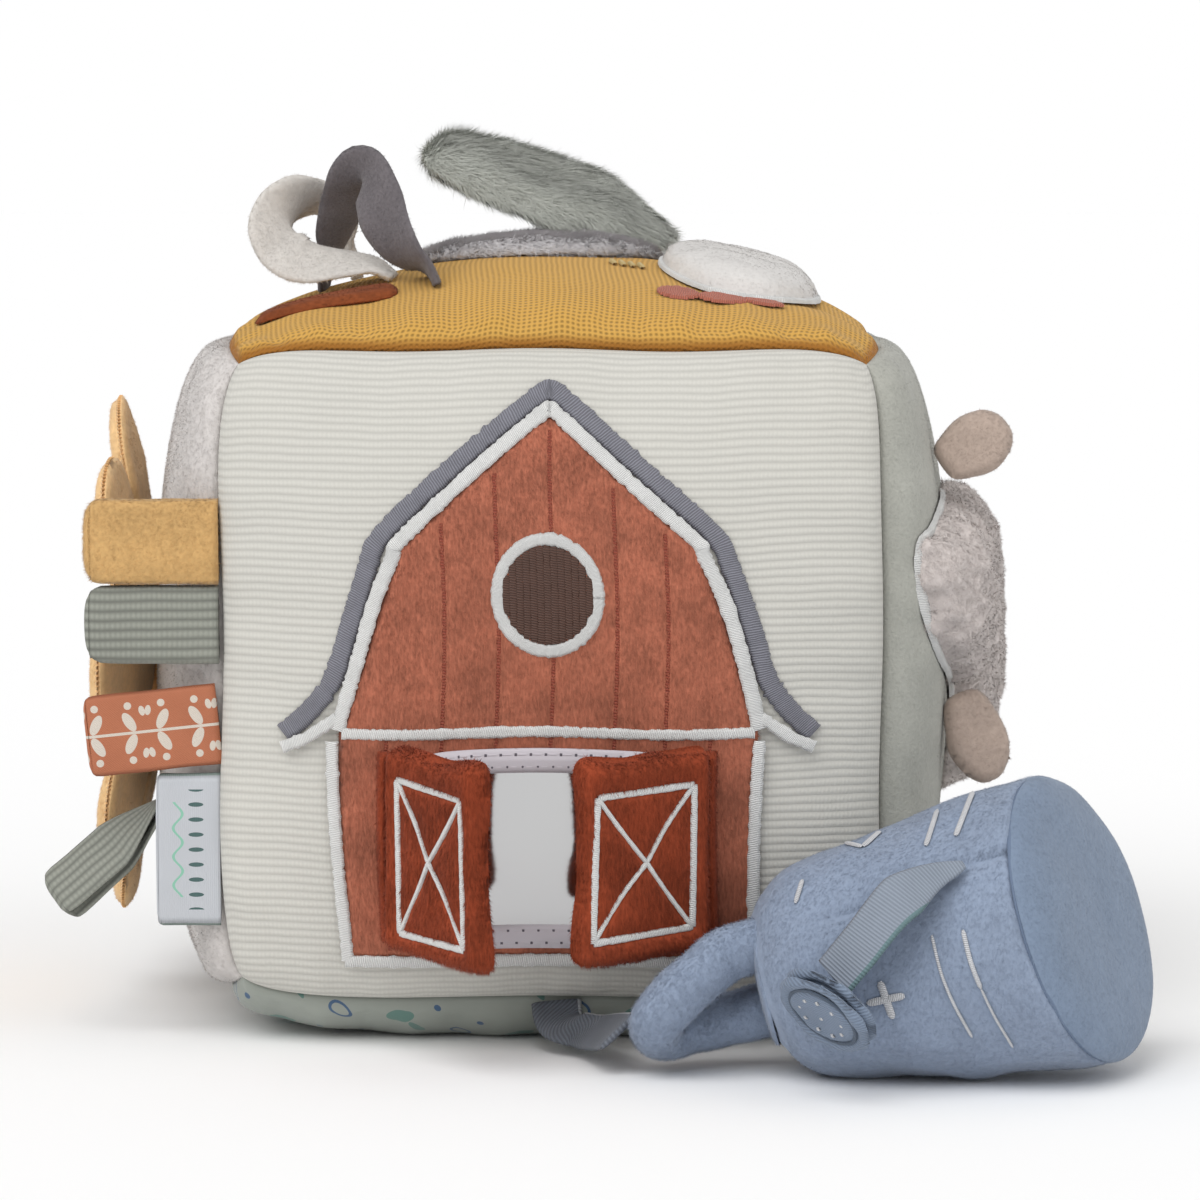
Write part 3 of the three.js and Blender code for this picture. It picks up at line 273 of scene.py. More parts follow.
def flat_mesh(outline, holes, spacing):
    """Points and triangles that fill an outline evenly, and the outline's and the holes' own points."""
    loops = [subdivide(loop, spacing) for loop in (outline, *holes)]
    low, high = loops[0].min(0), loops[0].max(0)
    rows = []
    step = spacing * 0.87
    for j, y in enumerate(np.arange(low[1] + step / 2, high[1], step)):
        xs = np.arange(low[0] + (spacing / 2 if j % 2 else 0), high[0], spacing)
        rows.append(np.stack([xs, np.full(len(xs), y)], axis=1))
    grid = np.concatenate(rows)
    keep = inside(grid, loops[0]) & (distance(grid, loops[0]) > spacing * 0.55)
    for hole in loops[1:]:
        keep &= ~inside(grid, hole) & (distance(grid, hole) > spacing * 0.55)
    edges = []
    for loop in loops:
        start, n = len(edges), len(loop)
        edges += [(start + i, start + (i + 1) % n) for i in range(n)]
    points = [Vector(p) for p in np.concatenate(loops + [grid[keep]])]
    found = delaunay_2d_cdt(points, edges, [], 0, 1e-5, False)
    verts = np.array([tuple(v) for v in found[0]])
    tris = np.array([f for f in found[2] if len(f) == 3])
    middle = verts[tris].mean(axis=1)
    ok = inside(middle, loops[0])
    for hole in loops[1:]:
        ok &= ~inside(middle, hole)
    return verts, tris[ok], loops


def plate(
    name, outline, place, front, back, material, spacing, *nodes, body="block", pad=None, bumps=(), holes=()
):
    """A closed piece over an outline: front(points, distance to the edge) and back give its heights."""
    verts, tris, loops = flat_mesh(outline, holes, spacing)
    d = np.min([distance(verts, loop) for loop in loops], axis=0)
    n = len(verts)
    sides = [place(verts[:, 0], verts[:, 1], height(verts, d)) for height in (front, back)]
    faces = [tuple(t) for t in tris] + [tuple(n + i for i in reversed(t)) for t in tris]
    seen = dict.fromkeys((t[k], t[(k + 1) % 3]) for t in tris for k in range(3))
    faces += [(b, a, a + n, b + n) for a, b in seen if (b, a) not in seen]
    obj = make(name, np.concatenate(sides), faces, material, np.concatenate([verts, verts]))
    for bump in bumps:
        rumple(obj, *bump)
    return ride(obj, body, *nodes, pad=pad)


def bands(name, lines, place, width, height, lift, material, *nodes, body="block", closed=False, step=0.7):
    """Satin-stitched bands: domed strips along flat lines. A width may be given for each line."""
    points, faces, uv = [], [], []
    across = np.linspace(-1, 1, 9)
    rise = np.sqrt(1 - across**4)
    rng = np.random.default_rng(len(lines))
    for k, line in enumerate(lines):
        wide = width[k] if isinstance(width, (list, tuple)) else width
        p = subdivide(line, step, closed)
        n = len(p)
        ahead = np.roll(p, -1, 0) - np.roll(p, 1, 0)
        taper = np.ones(n)
        if not closed:
            ahead[0], ahead[-1] = p[1] - p[0], p[-1] - p[-2]
            ends = np.minimum(np.arange(n), np.arange(n)[::-1]) * step
            taper = np.clip(0.35 + ends / (wide * 0.5), 0, 1) ** 0.5
        for _ in range(3):
            if closed:
                ahead = (np.roll(ahead, 1, 0) + 2 * ahead + np.roll(ahead, -1, 0)) / 4
            else:
                ahead[1:-1] = (ahead[:-2] + 2 * ahead[1:-1] + ahead[2:]) / 4
        ahead = unit(ahead)
        side = np.stack([ahead[:, 1], -ahead[:, 0]], 1)
        ragged = wide / 2 * (1 + 0.07 * rng.normal(size=(n, 1, 1)))
        flat = p[:, None, :] + side[:, None, :] * (across[None, :, None] * ragged)
        h = lift + height * rise[None, :] * taper[:, None]
        faces += grid_faces(n, len(across), len(points), loop=closed)
        points += list(place(flat[..., 0].ravel(), flat[..., 1].ravel(), h.ravel()))
        uv += [(c * wide / 2, i * step) for i in range(n) for c in across]
    return ride(make(name, points, faces, material, uv, fix=False), body, *nodes)


def strap(name, line, across, width, thick, material, edge_share, steps=14):
    """A cloth strap along a 3-D line: across gives its width direction, for all of it or at each point."""
    p = np.asarray(line, float)
    ahead = unit(np.gradient(p, axis=0))
    w = np.asarray(across, float)
    w = unit(w - ahead * (w * ahead).sum(1)[:, None])
    n = np.cross(ahead, w)
    width = np.broadcast_to(np.asarray(width, float), len(p))
    x = np.linspace(-1, 1, steps)
    h = np.sqrt(np.clip(1 - np.abs(x) ** 6, 0, 1)) * (edge_share + (1 - edge_share) * (1 - np.abs(x) ** 3))
    x = np.concatenate([x, x[::-1][1:-1]])[:, None]
    h = np.concatenate([h, -h[::-1][1:-1]])[:, None]
    points = p[:, None] + w[:, None] * (x * (width / 2)[:, None, None]) + n[:, None] * (h * (thick / 2))
    m = len(x)
    uv = [(c * wide / 2, s) for wide, s in zip(width, run(p)) for c in x[:, 0]]
    faces = grid_faces(len(p), m, ring=True)
    faces.append(tuple(range(m - 1, -1, -1)))
    faces.append(tuple((len(p) - 1) * m + j for j in range(m)))
    return make(name, points.reshape(-1, 3), faces, material, uv)


def tube(name, line, radius, material, sides=24):
    """A round stuffed tube along a 3-D line."""
    rows = []
    ref = np.array([0.0, 1.0, 0.3])
    angles = 2 * math.pi * np.arange(sides) / sides
    for q, t in zip(line, unit(np.gradient(line, axis=0))):
        a = unit(np.cross(t, ref))
        b = np.cross(t, a)
        ref = np.cross(a, t)
        rows += [q + a * radius * math.cos(f) + b * radius * math.sin(f) for f in angles]
    faces = grid_faces(len(line), sides, ring=True)
    faces.append(tuple(range(sides)))
    faces.append(tuple((len(line) - 1) * sides + k for k in reversed(range(sides))))
    return make(name, rows, faces, material)


def pile(
    host, length, density, lean=(0, 0, 0), body="block", width=0.16, spread=0.5, flat=1.2, seed=1, keep=None
):
    """Short fibres that lie over a piece's cloth; density is per square mm, flat says how low they lie."""
    mesh = host.data
    mesh.calc_loop_triangles()
    co, no = read(mesh) / MM, read(mesh, "normal")
    tris = np.empty(len(mesh.loop_triangles) * 3, np.int32)
    mesh.loop_triangles.foreach_get("vertices", tris)
    tris = tris.reshape(-1, 3)
    a, b, c = (co[tris[:, i]] for i in range(3))
    area = np.linalg.norm(np.cross(b - a, c - a), axis=1) / 2
    if keep is not None:
        area = area * keep((a + b + c) / 3)
    rng = np.random.default_rng(seed)
    count = int(area.sum() * density)
    pick = rng.choice(len(tris), count, p=area / area.sum())
    r1, r2 = np.sqrt(rng.random(count)), rng.random(count)
    w = np.stack([1 - r1, r1 * (1 - r2), r1 * r2], 1)
    at = a[pick] * w[:, :1] + b[pick] * w[:, 1:2] + c[pick] * w[:, 2:]
    normal = unit((no[tris[pick]] * w[:, :, None]).sum(1))
    along = np.asarray(lean) + rng.normal(size=(count, 3)) * spread
    along = unit(along - normal * (along * normal).sum(1)[:, None])
    way = unit(normal + along * (flat * (0.8 + 0.4 * rng.random(count)))[:, None])
    side = unit(np.cross(normal, way)) * width / 2
    reach = way * (length * (0.55 + 0.45 * rng.random(count)))[:, None]
    foot = at - normal * 0.12
    points = np.stack([foot + side, foot - side, foot + reach], 1).reshape(-1, 3)
    name = host.name.rsplit("_", 1)[0] + "_pile"
    hair = make(name, points, np.arange(count * 3).reshape(-1, 3), mesh.materials[0], fix=False)
    soft = unit(normal + 0.3 * way + 0.45 * Z)
    hair.data.normals_split_custom_set(np.repeat(soft, 3, axis=0).tolist())
    return ride(hair, body)


# The camera stands at the photograph's angle, measured from the block's seams
PICTURE = 1200
FOCAL_PX = 5060
SENSOR = 36
ELEVATION = math.radians(5)
DISTANCE = 1000
AIM = np.array([9.7, -66.0, 88.8])
CAM_F = np.array([0.0, math.cos(ELEVATION), -math.sin(ELEVATION)])
CAM_U = np.array([0.0, math.sin(ELEVATION), math.cos(ELEVATION)])
CAM_AT = AIM - CAM_F * DISTANCE


def pixel_ray(px, py):
    """Direction of the sight line through a pixel of the photograph."""
    return unit(CAM_F + X * (px - PICTURE / 2) / FOCAL_PX + CAM_U * (PICTURE / 2 - py) / FOCAL_PX)


lens = bpy.data.cameras.new("camera")
lens.sensor_width = SENSOR
lens.lens = SENSOR * FOCAL_PX / PICTURE
lens.clip_start = 0.01
lens.clip_end = 20
camera = link(bpy.data.objects.new("camera", lens))
at = np.stack([X, CAM_U, -CAM_F, CAM_AT * MM], 1).tolist()
camera.matrix_world = Matrix(at + [[0, 0, 0, 1]])
scene.camera = camera


# Materials
def linear(rgb, factor=1.0):
    c = np.minimum(255, np.asarray(rgb, float) * factor) / 255
    return tuple(np.where(c <= 0.04045, c / 12.92, ((c + 0.055) / 1.055) ** 2.4)) + (1.0,)


class Shader:
    """Lays out a node material."""

    def __init__(self, name, rough, sheen=0.0, metal=0.0, spec=0.3):
        self.mat = bpy.data.materials.new(name)
        self.mat.use_nodes = True
        self.tree = self.mat.node_tree
        self.bsdf = self.tree.nodes["Principled BSDF"].inputs
        self.bsdf["Roughness"].default_value = rough
        self.bsdf["Metallic"].default_value = metal
        self.bsdf["Specular IOR Level"].default_value = spec
        self.bsdf["Sheen Weight"].default_value = sheen
        self.bsdf["Sheen Roughness"].default_value = 0.5

    def feed(self, socket, value):
        if isinstance(value, bpy.types.NodeSocket):
            self.tree.links.new(value, socket)
        else:
            socket.default_value = value

    def add(self, kind, inputs, **settings):
        """The outputs of a new node; inputs gives sockets a value or the output that feeds them."""
        node = self.tree.nodes.new(kind)
        for key, value in settings.items():
            setattr(node, key, value)
        for key, value in inputs.items():
            self.feed(node.inputs[key], value)
        return node.outputs

    def math(self, operation, *values):
        return self.add("ShaderNodeMath", dict(enumerate(values)), operation=operation)[0]

    def cloth(self):
        """The two coordinates on the piece's flat cloth, in mm."""
        out = self.add("ShaderNodeSeparateXYZ", {0: self.add("ShaderNodeTexCoord", {})["UV"]})
        return out[0], out[1]

    def noise(self, scale, detail=2.0, stretch=None):
        at = self.add("ShaderNodeTexCoord", {})["Object"]
        if stretch:
            at = self.add("ShaderNodeMapping", {"Scale": stretch, "Vector": at})[0]
        return self.add("ShaderNodeTexNoise", {"Scale": scale, "Detail": detail, "Vector": at})[0]

    def sine(self, at, pitch):
        return self.math("SINE", self.math("MULTIPLY", at, 2 * math.pi / pitch))

    def wave(self, at, pitch):
        """A sine wave from 0 to 1."""
        return self.math("MULTIPLY_ADD", self.sine(at, pitch), 0.5, 0.5)

    def within(self, value, half):
        return self.math("LESS_THAN", self.math("ABSOLUTE", value), half)

    def blend(self, a, b, share):
        return self.math("ADD", self.math("MULTIPLY", a, share), self.math("MULTIPLY", b, 1 - share))

    def mix(self, factor, a, b):
        return self.add("ShaderNodeMix", {0: factor, 6: a, 7: b}, data_type="RGBA")[2]

    def ramp(self, value, low, high):
        return self.add("ShaderNodeMapRange", {0: value, 1: low, 2: high})[0]

    def tint(self, value, low, high, rgb, dark, light):
        """A colour that goes from dark to light as value goes from low to high."""
        return self.mix(self.ramp(value, low, high), linear(rgb, dark), linear(rgb, light))

    def spot(self, x, y, at, half, turn=0.0):
        """1 inside an oval that stands at a place of the cloth, with half sizes in mm."""
        c, n = math.cos(turn), math.sin(turn)
        dx, dy = self.math("SUBTRACT", x, at[0]), self.math("SUBTRACT", y, at[1])
        a = self.math("MULTIPLY_ADD", dx, c / half[0], self.math("MULTIPLY", dy, n / half[0]))
        b = self.math("MULTIPLY_ADD", dy, c / half[1], self.math("MULTIPLY", dx, -n / half[1]))
        squares = [self.math("MULTIPLY", k, k) for k in (a, b)]
        return self.math("LESS_THAN", self.math("ADD", *squares), 1.0)

    def done(self, colour, height=None, size=0.0, strength=1.0):
        """The material, with its colour and a bump of a size in mm."""
        self.feed(self.bsdf["Base Color"], colour)
        if height:
            inputs = {"Strength": strength, "Distance": size * MM, "Height": height}
            self.feed(self.bsdf["Normal"], self.add("ShaderNodeBump", inputs)[0])
        return self.mat


def plush(name, rgb, dark=0.94, light=1.04, fine=900, sheen=0.2, streak=None):
    """Short-pile cloth; streak stretches its fine pattern the way the pile lies."""
    s = Shader(name, 0.95, sheen, spec=0.1)
    broad, hair = s.noise(110, 3), s.noise(fine, stretch=streak)
    return s.done(s.tint(s.blend(broad, hair, 0.5), 0.36, 0.64, rgb, dark, light), hair, 0.3, 0.6)


def waffle(name, rgb, pitches, depth, pits=False, low=0.86, high=1.03, seam=None, turned=False):
    """Ribbed or waffle cloth, its colour darker in the grooves and pits as painted shade; a seam colour
    darkens the sewn edge.
    """
    s = Shader(name, 0.92, 0.1, spec=0.12)
    shift = s.noise(55)
    pairs = zip(s.cloth(), pitches[::-1] if turned else pitches)
    a, b = (s.wave(s.math("MULTIPLY_ADD", shift, 1.2, at), pitch) for at, pitch in pairs)
    if turned:
        a, b = b, a
    if pits:
        h = s.math("SUBTRACT", 1.0, s.math("MULTIPLY", a, b))
    else:
        h = s.math("MULTIPLY", s.math("POWER", b, 0.6), s.math("MULTIPLY_ADD", a, 0.3, 0.7))
    h = s.math("MULTIPLY_ADD", s.noise(1500), 0.2, h)
    # Colour follows the height: darker in the grooves and pits as painted shade, mixed with random tone; low
    # sets how dark the painted shade goes.
    colour = s.tint(s.blend(h, s.noise(40), 0.75), 0.25, 0.9, rgb, low, high)
    if seam:
        away = s.add("ShaderNodeSeparateXYZ", {0: s.add("ShaderNodeUVMap", {}, uv_map="seam")[0]})[0]
        colour = s.mix(s.ramp(away, 1.0, 3.0), linear(seam), colour)
    return s.done(colour, h, depth, 0.8)


def thread(name, rgb, pitch=0.36, rough=0.55, low=0.82):
    """Satin stitch: threads lie across the band, side by side."""
    s = Shader(name, rough, 0.1)
    x, y = s.cloth()
    line = s.math("MULTIPLY_ADD", x, 0.18, s.math("MULTIPLY_ADD", s.noise(700), 0.35, y))
    wave = s.wave(line, pitch)
    return s.done(s.tint(s.blend(wave, s.noise(300), 0.6), 0.2, 0.75, rgb, low, 1.05), wave, 0.16, 0.8)


def woven(name, rgb, pitch=0.7, slant=1.0, edge=None, edge_from=0.0, low=0.88):
    """Twill tape in its own cloth coordinates, with an edge stripe if asked."""
    s = Shader(name, 0.75, 0.1, spec=0.25)
    x, y = s.cloth()
    wave = s.wave(s.math("MULTIPLY_ADD", x, slant, y), pitch)
    colour = s.tint(s.blend(wave, s.noise(90), 0.45), 0.25, 0.8, rgb, low, 1.04)
    if edge:
        colour = s.mix(s.math("GREATER_THAN", x, edge_from), colour, linear(edge))
    return s.done(colour, s.math("MULTIPLY_ADD", s.noise(1400), 0.4, wave), 0.14, 0.8)


def plain(name, rgb, rough):
    s = Shader(name, rough)
    return s.done(s.mix(s.noise(80), linear(rgb, 0.97), linear(rgb)), s.noise(700), 0.08, 0.4)


def mirror_film():
    s = Shader("mirror_film", 0.07, metal=1.0)
    colour = s.mix(s.noise(25), linear((190, 190, 191)), linear((200, 200, 200)))
    return s.done(colour, s.noise(38), 0.6, 0.25)


def printed():
    """Satin with scattered sprigs of two leaves and small open rings, on a ground greyed as painted shade."""
    s = Shader("printed_satin", 0.5, 0.15, spec=0.35)
    x, y = s.cloth()
    y = s.math("WRAP", s.math("MULTIPLY_ADD", x, 0.35, y), 9.0, -9.0)
    x = s.math("WRAP", x, 12.0, -12.0)

    def spot(*oval):
        return s.spot(x, y, *oval)

    leaves = s.math("MAXIMUM", spot((-6.5, 1.2), (3.4, 1.3), 0.6), spot((-3.2, -1.6), (2.6, 1.0), 2.2))
    ring = s.math("SUBTRACT", spot((5.6, -2.4), (2.2, 2.0)), spot((5.6, -2.4), (1.6, 1.4)))
    dots = s.math("MAXIMUM", spot((9.6, 4.8), (0.7, 0.7)), spot((1.2, 5.6), (0.7, 0.7)))
    # The ground is a grey far darker than the pale satin, with random tone: painted shade of the block's
    # underside.
    ground = s.mix(s.noise(60), linear((140, 146, 139)), linear((158, 162, 154)))
    colour = s.mix(leaves, ground, linear((96, 128, 120)))
    colour = s.mix(s.math("MAXIMUM", ring, dots), colour, linear((66, 92, 124)))
    return s.done(colour, s.noise(1800, 1), 0.08, 0.5)


def satin_motif():
    """The woven tab: a plain sprig of leaves and dots on a rust ground."""
    s = Shader("rust_satin", 0.5, spec=0.35)
    x, y = s.cloth()
    weave = s.sine(s.math("ADD", y, x), 0.5)
    mark = s.within(x, 0.28)
    x, y = s.math("ABSOLUTE", x), s.math("PINGPONG", y, 6.6)
    for leaf in (((2.2, 3.3), (2.1, 1.0), 0.5), ((5.4, 3.3), (0.75, 0.75)), ((4.2, 0.6), (1.0, 0.6), 0.2)):
        mark = s.math("MAXIMUM", mark, s.spot(x, y, *leaf))
    ground = s.mix(s.noise(120), linear((164, 98, 68)), linear((182, 112, 80)))
    return s.done(s.mix(mark, ground, linear((206, 196, 184))), weave, 0.05, 0.6)


LABEL_WIDTH = 30.4


def label_motif():
    """The label: a row of short bars and a wavy line, on white satin with a fine rim; the satin's white is
    greyed as painted shade.
    """
    s = Shader("label_satin", 0.45, spec=0.35)
    x, y = s.cloth()
    bar = s.spot(s.math("WRAP", x, 1.5, -1.5), y, (0.0, 21.0), (0.45, 1.5))
    bar = s.math("MULTIPLY", bar, s.within(x, 12.0))
    curve = s.math("MULTIPLY_ADD", s.math("SINE", s.math("MULTIPLY", x, 1.1)), 0.9, 17.4)
    wave = s.math("MULTIPLY", s.within(s.math("SUBTRACT", y, curve), 0.28), s.within(x, 9.5))
    # The white satin's ground is greyed, with random tone: painted shade.
    ground = s.mix(s.noise(90), linear((180, 183, 188)), linear((190, 193, 198)))
    colour = s.mix(wave, s.mix(bar, ground, linear((70, 96, 94))), linear((134, 186, 164)))
    rim = s.math("GREATER_THAN", s.math("ABSOLUTE", x), LABEL_WIDTH / 2 - 0.45)
    return s.done(s.mix(rim, colour, linear((150, 164, 158))), s.sine(y, 0.4), 0.04, 0.5)


M = {
    # For the waffles, low sets how dark the painted shade in the grooves and pits goes.
    "cream": waffle("cream_waffle", (200, 198, 191), (0.85, 1.6), 0.2, low=0.94, high=1.02),
    "mustard": waffle("mustard_waffle", (192, 149, 76), (1.1, 1.05), 0.28, True, 0.8, 1.06, (156, 104, 44)),
    "fleece": plush("fleece", (206, 201, 198), 0.97, 1.02, 700),
    "velvet": plush("sage_velvet", (168, 168, 160), 0.96, 1.03, 1600),
    "cotton": waffle("back_cotton", (186, 182, 172), (1.2, 1.2), 0.15, low=0.93),
    "terracotta": plush("terracotta_plush", (170, 104, 82), 0.86, 1.1, 900, 0.1, (2.6, 1, 0.7)),
    "rust": plush("rust_plush", (144, 66, 42), 0.85, 1.1, 900, 0.05, (2.4, 1, 0.6)),
    "grey_thread": thread("grey_thread", (126, 126, 135), 0.55, low=0.76),
    "white_thread": thread("white_thread", (220, 220, 218), low=0.88),
    "silver_thread": thread("silver_thread", (208, 209, 212)),
    "dark_thread": thread("dark_thread", (136, 62, 44), 0.6, low=0.9),
    # The dark needle hole colour is painted shade for the binding's stitch holes.
    "hole": plain("needle_hole", (96, 90, 98), 0.9),
    "window": thread("window_thread", (80, 55, 45), 0.5),
    "pink_thread": thread("comb_thread", (172, 98, 78), 0.5),
    "pale_thread": thread("pale_thread", (204, 180, 120)),
    "binding": plain("binding_tape", (198, 192, 198), 0.7),
    "yellow": plush("yellow_plush", (202, 163, 108)),
    "sage": waffle("sage_waffle", (145, 147, 138), (1.0, 1.9), 0.25, low=0.8, turned=True),
    "amber": plush("amber_plush", (200, 150, 96)),
    "strip": plush("strip_plush", (134, 72, 42), 0.9, 1.05, sheen=0.05),
    "petal": plush("petal_plush", (232, 194, 142), 0.95),
    "overlock": thread("overlock_thread", (240, 196, 140), 0.8),
    "cream_plush": plush("cream_plush", (208, 203, 197), 0.96, 1.03),
    "grey_velvet": plush("grey_velvet", (107, 102, 105), 0.93, 1.06, 1500),
    "wing_pile": plush("wing_pile", (190, 192, 184), 0.93),
    "grey_pile": plush("hen_pile", (206, 203, 204), 0.94, 1.03),
    "white_plush": plush("white_plush", (210, 207, 204), 0.98, 1.01),
    "wool": plush("wool", (208, 199, 195), 0.96, 1.02, 500),
    "ear": plush("ear_plush", (178, 160, 148), 0.95, 1.03),
    "ear_in": plush("ear_inner", (190, 152, 145), 0.96, 1.03),
    "blue": plush("blue_plush", (140, 153, 174), 0.96, 1.03),
    "blue_base": plush("blue_base_plush", (122, 137, 158), 0.97, 1.02),
    "blue_seam": plain("blue_seam_thread", (104, 119, 142), 0.8),
    "twill": woven("blue_twill", (138, 147, 160), 0.67, 0.1, (102, 126, 130), 4.1),
    "rose": woven("rose_twill", (122, 136, 156), 0.7, 0.6),
    "rim": thread("rose_rim", (96, 110, 128), rough=0.8, low=0.78),
    "tether": woven("tether_twill", (108, 113, 122), 0.9, 0.9, (188, 191, 195), 4.2, 0.8),
    "stuffing": plush("stuffing", (240, 239, 234), 0.95, 1.0),
    "plastic": plain("moulded_plastic", (230, 230, 226), 0.45),
    "mirror": mirror_film(),
    "print": printed(),
    "rust_satin": satin_motif(),
    "label": label_motif(),
}


# The six panels
def panel(face, material, grid=96, pucker=0.5, seed=0):
    """A sewn panel: it meets its neighbours at the seams, where its cloth gathers."""
    s = np.sin(np.linspace(-1, 1, grid + 1) * math.pi / 2)
    u, v = (a.ravel() for a in np.meshgrid(s, s))
    p = skin(face, u, v)
    a, b = u * SIDE, v * SIDE
    du, dv = (1 - np.abs(u)) * SIDE, (1 - np.abs(v)) * SIDE
    near_u, near_v, far_u, far_v = (np.exp(-d / reach) for reach in (5, 13) for d in (du, dv))
    fine, broad = wobble(p, 5.2, seed), wobble(p, 26, seed + 9)
    tight = np.sin(b * 1.05 + fine * 2.5) * near_u + np.sin(a * 1.05 + fine * 2.5) * near_v
    loose = np.sin(b * 0.37 + broad * 3) * far_u + np.sin(a * 0.37 + broad * 3) * far_v
    shift = pucker * (0.45 * tight + 0.8 * loose + 0.4 * fine * (near_u + near_v)) + 0.35 * broad
    edge = np.clip(np.minimum(du, dv) / 1.6, 0, 1)
    p = p + (unit(p - CENTRE) * 0.35 + FACES[face][2] * 0.65) * (shift * edge)[:, None]
    p[:, 2] = np.maximum(p[:, 2], 0.0)
    m = grid + 1
    at = p.reshape(m, m, 3)
    x, y = np.zeros((m, m)), np.zeros((m, m))
    x[:, 1:] = np.cumsum(np.linalg.norm(np.diff(at, axis=1), axis=2), axis=1)
    y[1:] = np.cumsum(np.linalg.norm(np.diff(at, axis=0), axis=2), axis=0)
    seam = np.minimum(np.minimum(x, x[:, -1:] - x), np.minimum(y, y[-1:] - y)).ravel()
    flat = np.stack([(x - x[:, [m // 2]]).ravel(), (y - y[[m // 2]]).ravel()], 1)
    obj = make(face + "_panel_cloth", p, grid_faces(m, m), material, flat, fix=False)
    lay(obj.data, "seam", np.stack([seam, seam], 1))
    obj.data.uv_layers.active_index = 0
    solid = obj.modifiers.new("thick", "SOLIDIFY")
    solid.thickness = 1.6 * MM
    solid.offset = -1
    return ride(obj, "block", face + "_panel", pad=0.9)


panel("front", M["cream"], grid=120, pucker=0.35, seed=1)
panel("back", M["cotton"], seed=2)
left_cloth = panel("left", M["fleece"], seed=3)
right_cloth = panel("right", M["velvet"], pucker=0.4, seed=4)
panel("top", M["mustard"], grid=120, pucker=1.0, seed=5)
panel("bottom", M["print"], pucker=0.8, seed=6)
pile(left_cloth, 1.4, 5, (0, 0, -0.4), flat=2.2, seed=7)
pile(right_cloth, 0.8, 4, (0, 0, -0.6), flat=2.2, seed=8)
FRONT, LEFT, RIGHT, TOP = (over(face) for face in ("front", "left", "right", "top"))


def carry(node, name, body, material):
    """A hidden piece: the solid's own form, smoothed."""
    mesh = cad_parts[node].data.copy()
    obj = link(bpy.data.objects.new(name, mesh))
    mesh.materials.clear()
    mesh.materials.append(material)
    mesh.shade_smooth()
    return ride(obj, body, node)


filling = carry("cube_filling", "stuffing", "block", M["stuffing"])
co = read(filling.data) / MM
lid = TOP(co[:, 0], co[:, 1], np.full(len(co), -3.0))[:, 2]
co[:, 2] = np.where(co[:, 2] > MID, np.minimum(co[:, 2], lid), co[:, 2])
write(filling.data, co * MM)
carry("can_filling", "can_stuffing", "can", M["stuffing"])
carry("squeaker", "squeaker_shell", "block", M["plastic"])
carry("rattle_capsule", "rattle_shell", "can", M["plastic"])


# The barn
def front_line(points):
    return np.array([(x, z - MID) for x, z in points])


def mirrored(line):
    return [(-x, z) for x, z in reversed(line)]


WALL_LIFT, WALL = 0.5, 1.2
ON_WALL = WALL_LIFT + WALL
TRIM = ON_WALL - 0.1
PLANKS = (-31.6, -20.7, -10.1, 0.6, 13.0, 22.9, 31.7)
GABLE = [(0, 126.2), (29.4, 100.6), (41, 63.7)]


def wall_top(verts, d):
    groove = np.max([np.exp(-(((verts[:, 0] - x) / 0.9) ** 2)) for x in PLANKS], axis=0)
    return WALL_LIFT + WALL * bulge(d, 1.6) - 0.45 * groove


def on_wall(c):
    return (c[:, 1] < -60) & (np.abs(c[:, 0]) < 41.5)


wall = [(0.2, 126.2), (-29.4, 100.6), (-41, 63.7), (-40, 18.4), (40, 18.4), (41, 63.7), (29.6, 100.6)]
wall = front_line(wall)
barn = plate("barn_wall_plush", wall, FRONT, wall_top, level(0.1), M["terracotta"], 1.3, "barn_wall")
pile(barn, 1.2, 8, (0.1, 0, -1), spread=0.3, seed=3, keep=on_wall)
planks = []
for x in PLANKS:
    top = np.interp(abs(x), *zip(*GABLE)) - 3.2
    tall = [(x, top), (x + 0.2, 90), (x, 62), (x, 20.5)]
    planks.append(front_line(tall if abs(x) < 30 else [(x, min(top, 62.5)), (x, 20.5)]))
bands("plank_stitches", planks, FRONT, 0.9, 0.2, WALL_LIFT + 0.8, M["dark_thread"])

roof_half = [(-52, 62.9), (-47.2, 67.4), (-42.6, 73.8), (-39.7, 83), (-35.4, 96.2), (-32.4, 102.6)]
roof_half.append((-20.6, 113.6))
roof_line = roof_half + [(-2.4, 128.6), (0.3, 129.9), (3.0, 128.6)] + mirrored(roof_half)
roof = [front_line(rounded(roof_line, 5, False))]
bands("barn_roof_stitch", roof, FRONT, 4.0, 0.8, 0.35, M["grey_thread"], "barn_roof")

gable_half = [(-41.3, 64.2), (-38.6, 74.5), (-34.4, 89), (-30.3, 98.6), (-28.9, 101.6), (-17.1, 112.2)]
gable_line = gable_half + [(-1.6, 125.2), (0.4, 126.3), (2.4, 125.2)] + mirrored(gable_half)
eave = [(-52.2, 60.2), (-47.6, 62.2), (-43.2, 65.3), (-41.4, 66.6)]
gable = [rounded(gable_line, 5, False), eave, [(-x, z) for x, z in eave], [(-40.4, 63.7), (40.4, 63.7)]]
gable = [front_line(line) for line in gable]
widths = [2.9, 2.4, 2.4, 2.3]
bands("barn_gable_stitch", gable, FRONT, widths, 0.65, TRIM, M["white_thread"], "barn_gable_trim")
box = [[(-42.3, 62), (-40, 18.2)], [(41.4, 62), (39.6, 18.2)], [(-40.6, 18.2), (39.9, 18.2)]]
box = [front_line(line) for line in box]
bands("barn_box_stitch", box, FRONT, 2.5, 0.65, TRIM, M["white_thread"], "barn_box_trim")

